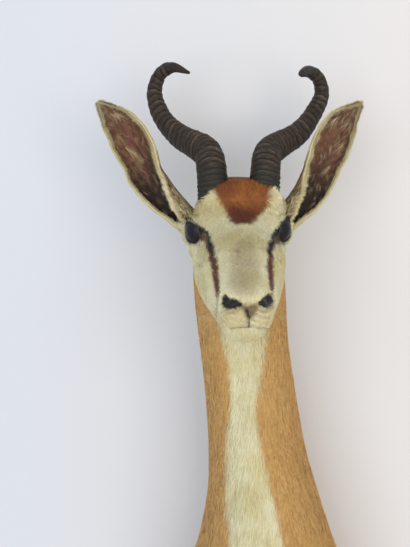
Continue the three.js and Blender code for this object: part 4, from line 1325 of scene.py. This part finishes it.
def eye_finish():
    """Painted glass eye, dulled by years of dust: a blue-black pupil in a very dark brown iris."""
    material, tree, shader = finish_named(
        "eye_glass", {"Roughness": 0.38, "IOR": 1.5, "Specular IOR Level": 0.2})
    table = add(tree, "Attribute", attribute_name="ball")
    parts = add(tree, "SeparateColor", {0: table.outputs["Color"]})
    place = add(tree, "TexCoord").outputs["Object"]
    dust = add(tree, "TexNoise", {"Vector": place, "Scale": 160.0, "Detail": 4.0}).outputs["Fac"]
    iris = add(tree, "MapRange", {0: parts.outputs[0], 1: 0.5, 2: 0.75}).outputs[0]
    colour = add(tree, "Mix", {0: iris, 6: linear("#0d0f17"), 7: linear("#191213")},
                 data_type="RGBA").outputs[2]
    rim = add(tree, "MapRange", {0: parts.outputs[0], 1: 0.95, 2: 1.1}).outputs[0]
    colour = add(tree, "Mix", {0: rim, 6: colour, 7: linear("#141318")}, data_type="RGBA").outputs[2]
    grey = add(tree, "MapRange", {0: dust, 1: 0.45, 2: 0.8, 4: 0.16}).outputs[0]
    colour = add(tree, "Mix", {0: grey, 6: colour, 7: linear("#3a3f4c")}, data_type="RGBA").outputs[2]
    tree.links.new(colour, shader.inputs["Base Color"])
    return material


def wood_finish():
    """Sawn pine, sanded and bare: pale straw wood with darker growth lines running up the board, a matt
    surface."""
    material, tree, shader = finish_named("bare_pine", {"Roughness": 0.66, "IOR": 1.5})
    place = add(tree, "TexCoord").outputs["Object"]
    long = add(tree, "Mapping", {"Vector": place, "Scale": (1.0, 1.0, 0.09)}).outputs[0]
    grain = add(tree, "TexNoise", {"Vector": long, "Scale": 220.0, "Detail": 5.0, "Distortion": 0.6})
    heart = add(tree, "Mapping", {"Vector": place, "Location": (0.014, 0.03, 0.006),
                                  "Scale": (1.0, 1.0, 0.11)}).outputs[0]
    rings = add(tree, "TexWave", {"Vector": heart, "Scale": 42.0, "Distortion": 2.2, "Detail": 2.0,
                                  "Detail Scale": 0.6},
                wave_type="RINGS", rings_direction="SPHERICAL", wave_profile="SAW").outputs["Fac"]
    tone = add(tree, "Math", {0: rings, 1: grain.outputs["Fac"]}, operation="MULTIPLY").outputs[0]
    colour = add(tree, "Mix", {0: tone, 6: linear("#d0ae7c"), 7: linear("#b08a58")},
                 data_type="RGBA").outputs[2]
    tree.links.new(colour, shader.inputs["Base Color"])
    bump = add(tree, "Bump", {"Strength": 0.3, "Distance": 0.0004, "Height": grain.outputs["Fac"]})
    tree.links.new(bump.outputs[0], shader.inputs["Normal"])
    return material


def foam_finish():
    """Rigid buff foam of the form, planed flat: dull yellow-brown with fine open pores and a few glue
    stains."""
    material, tree, shader = finish_named("buff_foam", {"Roughness": 0.85, "IOR": 1.45})
    place = add(tree, "TexCoord").outputs["Object"]
    pores = add(tree, "TexNoise", {"Vector": place, "Scale": 700.0, "Detail": 3.0}).outputs["Fac"]
    stains = add(tree, "TexNoise", {"Vector": place, "Scale": 24.0, "Detail": 4.0}).outputs["Fac"]
    stained = add(tree, "MapRange", {0: stains, 1: 0.5, 2: 0.72}).outputs[0]
    plain = add(tree, "Mix", {0: pores, 6: linear("#b39a70"), 7: linear("#e0cba0")},
                data_type="RGBA").outputs[2]
    colour = add(tree, "Mix", {0: stained, 6: plain, 7: linear("#a98c62")}, data_type="RGBA").outputs[2]
    tree.links.new(colour, shader.inputs["Base Color"])
    bump = add(tree, "Bump", {"Strength": 0.5, "Distance": 0.0006, "Height": pores})
    tree.links.new(bump.outputs[0], shader.inputs["Normal"])
    return material


def steel_finish():
    """Zinc-plated mild steel, rolled: mid grey with a faint drawn grain and duller spots of handling."""
    material, tree, shader = finish_named(
        "zinc_plated_steel", {"Roughness": 0.35, "IOR": 1.5, "Metallic": 1.0})
    place = add(tree, "TexCoord").outputs["Object"]
    drawn = add(tree, "Mapping", {"Vector": place, "Scale": (0.06, 1.0, 1.0)}).outputs[0]
    grain = add(tree, "TexNoise", {"Vector": drawn, "Scale": 900.0, "Detail": 3.0}).outputs["Fac"]
    spots = add(tree, "TexNoise", {"Vector": place, "Scale": 180.0, "Detail": 2.0}).outputs["Fac"]
    colour = add(tree, "Mix", {0: spots, 6: linear("#b9bbbb"), 7: linear("#8f9294")},
                 data_type="RGBA").outputs[2]
    tree.links.new(colour, shader.inputs["Base Color"])
    rough = add(tree, "MapRange", {0: grain, 3: 0.28, 4: 0.48}).outputs[0]
    tree.links.new(rough, shader.inputs["Roughness"])
    return material


# Putting the mount together

def dress(piece, slot, material, *nodes):
    """Gives a piece its material, lets it ride on the one body, and lets it stand for CAD nodes. Its slot is
    not used.
    """
    piece.data.materials.clear()
    piece.data.materials.append(material)
    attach(piece, "root")
    if nodes:
        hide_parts(*nodes)


def paint(piece):
    """Stores the coat's shares on a skin."""
    points, _, normals = triangles_of(piece.data)
    give(piece, "coat", coat(points, normals))


skin_finish = coat_finish("tanned_hide", False)
hair_finish = coat_finish("springbok_hair", True)
ear_material = ear_finish()
horn_material = horn_finish()
eye_material = eye_finish()

head = head_skin()
neck = neck_skin()
for skin in (head, neck):
    paint(skin)
    dress(skin, "hide", skin_finish, "cape")

dress(back_plate(), "hide", foam_finish())

HAIR_SHARE = 1.0

for which in EAR_PATHS:
    ear, table, outer, inner = ear_shell(which)
    give(ear, "cup", table)
    dress(ear, "hide", ear_material)
    dress(ear_hair(which, outer, inner), "hide", hair_finish)

for which in HORN_PATHS:
    horn, growth = horn_piece(which)
    give(horn, "growth", np.column_stack([growth, np.ones(len(growth))]))
    dress(horn, "horn", horn_material, f"horn_{which}")

for which in EYES:
    ball, polar = eye_ball(which)
    give(ball, "ball", np.stack([polar, polar * 0, polar * 0, polar * 0 + 1], 1))
    dress(ball, "eye_glass", eye_material, f"eye_{which}")
    lid, row = lids(which)
    points, _, normals = triangles_of(lid.data)
    shares = coat(points, normals)
    shares[:, 3] = np.maximum(shares[:, 3], (row < LID_DARK_ROWS) * 0.95)
    give(lid, "coat", shares)
    dress(lid, "hide", skin_finish)
    dress(lashes(which), "hide", hair_finish)

HAIRS_A_PIECE = 64000  # three triangles each, so that a piece stays under 200,000


def grow(name, piece, count, length, width, lift, spread, keep):
    """Covers a piece with hair in pieces of at most 64,000 blades, coloured by the coat where each has its
    root."""
    count = int(count * HAIR_SHARE)
    parts = math.ceil(count / HAIRS_A_PIECE)
    for part in range(parts):
        roots, out = scatter(piece, count // parts, keep)
        size = length(roots) if callable(length) else np.full(len(roots), float(length))
        tones = coat(roots + random.normal(0, 0.7, roots.shape), out)
        shades = random.random(len(roots))
        way = lie(roots, out)
        blades = hairs(f"{name}_{part + 1}", roots, out, way, size, width, lift, tones, shades, spread)
        dress(blades, "hide", hair_finish)


def neck_length(points):
    """Hair of 14 mm at the top of the neck that lengthens to 21 mm at the chest, and short behind."""
    return (14 + 7 * ramp(-points[:, 2], -260, 120)) * (0.35 + 0.65 * ramp(-points[:, 1], 2, 30))


def head_length(points):
    """Hair of 4.8 mm over the face, 2.8 mm on the muzzle, and up to 8.4 mm on the forehead's patch. Under
    the jaw it is 1.4 mm shorter, and at the eyes half as long."""
    along, side, out = in_face(points)
    back = (points - HEAD_ORIGIN) @ BACK
    size = 4.8 - 2 * ramp(along, 100, 150) + 3.6 * hill(along, -2, 26) * (np.abs(side) < 38)
    size = size - 1.4 * ramp(-out, 40, 60) * (1 - ramp(back, 10, 40))
    for which in EYES:
        far = np.linalg.norm(points - eye_place(which)[0], axis=1)
        size = size * (0.5 + 0.5 * ramp(far, 20, 36))
    return size


def neck_keep(points, normals):
    """1 on the neck below the head and clear of the wall, and 1.6 on what faces forward."""
    return (points[:, 1] < -1.5) * (points[:, 2] < SPLIT_HEIGHT + 1) * (1.0 + 0.6 * (normals[:, 1] < -0.2))


def head_keep(points, normals):
    """Where the coat grows on the head: nearly twice as much on what faces forward."""
    on_head = (points[:, 2] > SPLIT_HEIGHT) | (points[:, 1] < -208)
    return on_head * bare_skin(points, normals) * (1.0 + 0.9 * (normals[:, 1] < 0))


def lid_keep(points, normals):
    """1 on the lids' outer side: outside their opening, and above the eye's ball."""
    return clear_of_eyes(points) * (np.linalg.norm(points - eye_place(which)[0], axis=1) > EYE_RADIUS + 0.7)


grow("neck_hair", neck, 131000, neck_length, width=0.42, lift=0.032, spread=0.075, keep=neck_keep)
grow("head_hair", head, 125000, head_length, width=0.4, lift=0.08, spread=0.16, keep=head_keep)
for which in EYES:
    grow(f"lid_hair_{which}", bpy.data.objects[f"lids_{which}"], 3000, length=2.6, width=0.36, lift=0.08,
         spread=0.16, keep=lid_keep)

steel = steel_finish()
fittings = {
    "backboard": wood_finish(), "hanger_strap": steel, "strap_screw_left": steel, "strap_screw_right": steel,
}
for name, material in fittings.items():
    NODES[name].data.materials.clear()
    NODES[name].data.materials.append(material)


# Stage and light

def stage_sheet(name, corners, material):
    """A flat rectangle of the stage, from its four corners."""
    sheet = mesh_of(name, np.array(corners, float), [(0, 1, 2, 3)], smooth=False)
    sheet.data.materials.append(material)
    return sheet


def wall_finish():
    """Painted plaster: flat pale grey-white with faint unevenness, cooler on the left and warmer on the
    right as painted light. Its back isn't seen, so that the mount's own back can be looked at."""
    material, tree, shader = finish_named("painted_plaster", {"Roughness": 0.9, "IOR": 1.45})
    place = add(tree, "TexCoord").outputs["Object"]
    cloud = add(tree, "TexNoise", {"Vector": place, "Scale": 1.4, "Detail": 3.0}).outputs["Fac"]
    across = add(tree, "SeparateXYZ", {0: place}).outputs[0]
    # painted light: the wall turns from cool on the left to warm on the right, as the two lamps tint it
    side = add(tree, "MapRange", {0: across, 1: -0.35, 2: 0.2}).outputs[0]
    painted_cool_light = add(tree, "Mix", {0: cloud, 6: linear("#c2c7cd"), 7: linear("#c6cace")},
               data_type="RGBA").outputs[2]
    colour = add(tree, "Mix", {0: side, 6: painted_cool_light, 7: linear("#d0cecb")}, data_type="RGBA").outputs[2]
    tree.links.new(colour, shader.inputs["Base Color"])
    side = add(tree, "NewGeometry").outputs["Backfacing"]
    clear = add(tree, "BsdfTransparent").outputs[0]
    both = add(tree, "MixShader", {0: side, 1: shader.outputs[0], 2: clear}).outputs[0]
    tree.links.new(both, tree.nodes["Material Output"].inputs["Surface"])
    return material


WIDE, LOW, HIGH = 3000, -900, 2600  # half width of the stage, height of its floor, top of its wall
wall_corners = [(-WIDE, 1, LOW), (WIDE, 1, LOW), (WIDE, 1, HIGH), (-WIDE, 1, HIGH)]
wall = stage_sheet("wall", wall_corners, wall_finish())
wall.visible_shadow = False
wall.visible_diffuse = False
wall.visible_glossy = False
pale_floor = finish_named("pale_floor", {"Roughness": 0.85, "IOR": 1.5, "Base Color": linear("#d0d0d0")})[0]
floor_corners = [(-WIDE, -WIDE, LOW), (WIDE, -WIDE, LOW), (WIDE, WIDE, LOW), (-WIDE, WIDE, LOW)]
stage_sheet("floor", floor_corners, pale_floor)


LIGHT_AIM = np.array([0.0, -0.05, 0.08])
LIGHT_SIZE = 1.8


def soft_light(name, place, power, code):
    """A square area light, in metres and watts, that points at the middle of the mount."""
    lamp = bpy.data.lights.new(name, "AREA")
    lamp.size = LIGHT_SIZE
    lamp.energy = power
    lamp.color = linear(code)[:3]
    thing = bpy.data.objects.new(name, lamp)
    thing.location = place
    away = place - LIGHT_AIM
    flat = math.hypot(away[0], away[1])
    thing.rotation_euler = (math.atan2(flat, away[2]), 0, math.atan2(away[0], -away[1]))
    bpy.context.scene.collection.objects.link(thing)


soft_light("window", (-1.1, -3.0, 0.3), power=41, code="#e8f0ff")
soft_light("fill", (1.1, -3.0, 0.2), power=38.5, code="#fff1e2")

world = bpy.data.worlds.new("room")
world.use_nodes = True
world.node_tree.nodes["Background"].inputs["Color"].default_value = linear("#e4e6ea")
world.node_tree.nodes["Background"].inputs["Strength"].default_value = 1.0
bpy.context.scene.world = world
bpy.context.scene.view_settings.view_transform = "Standard"
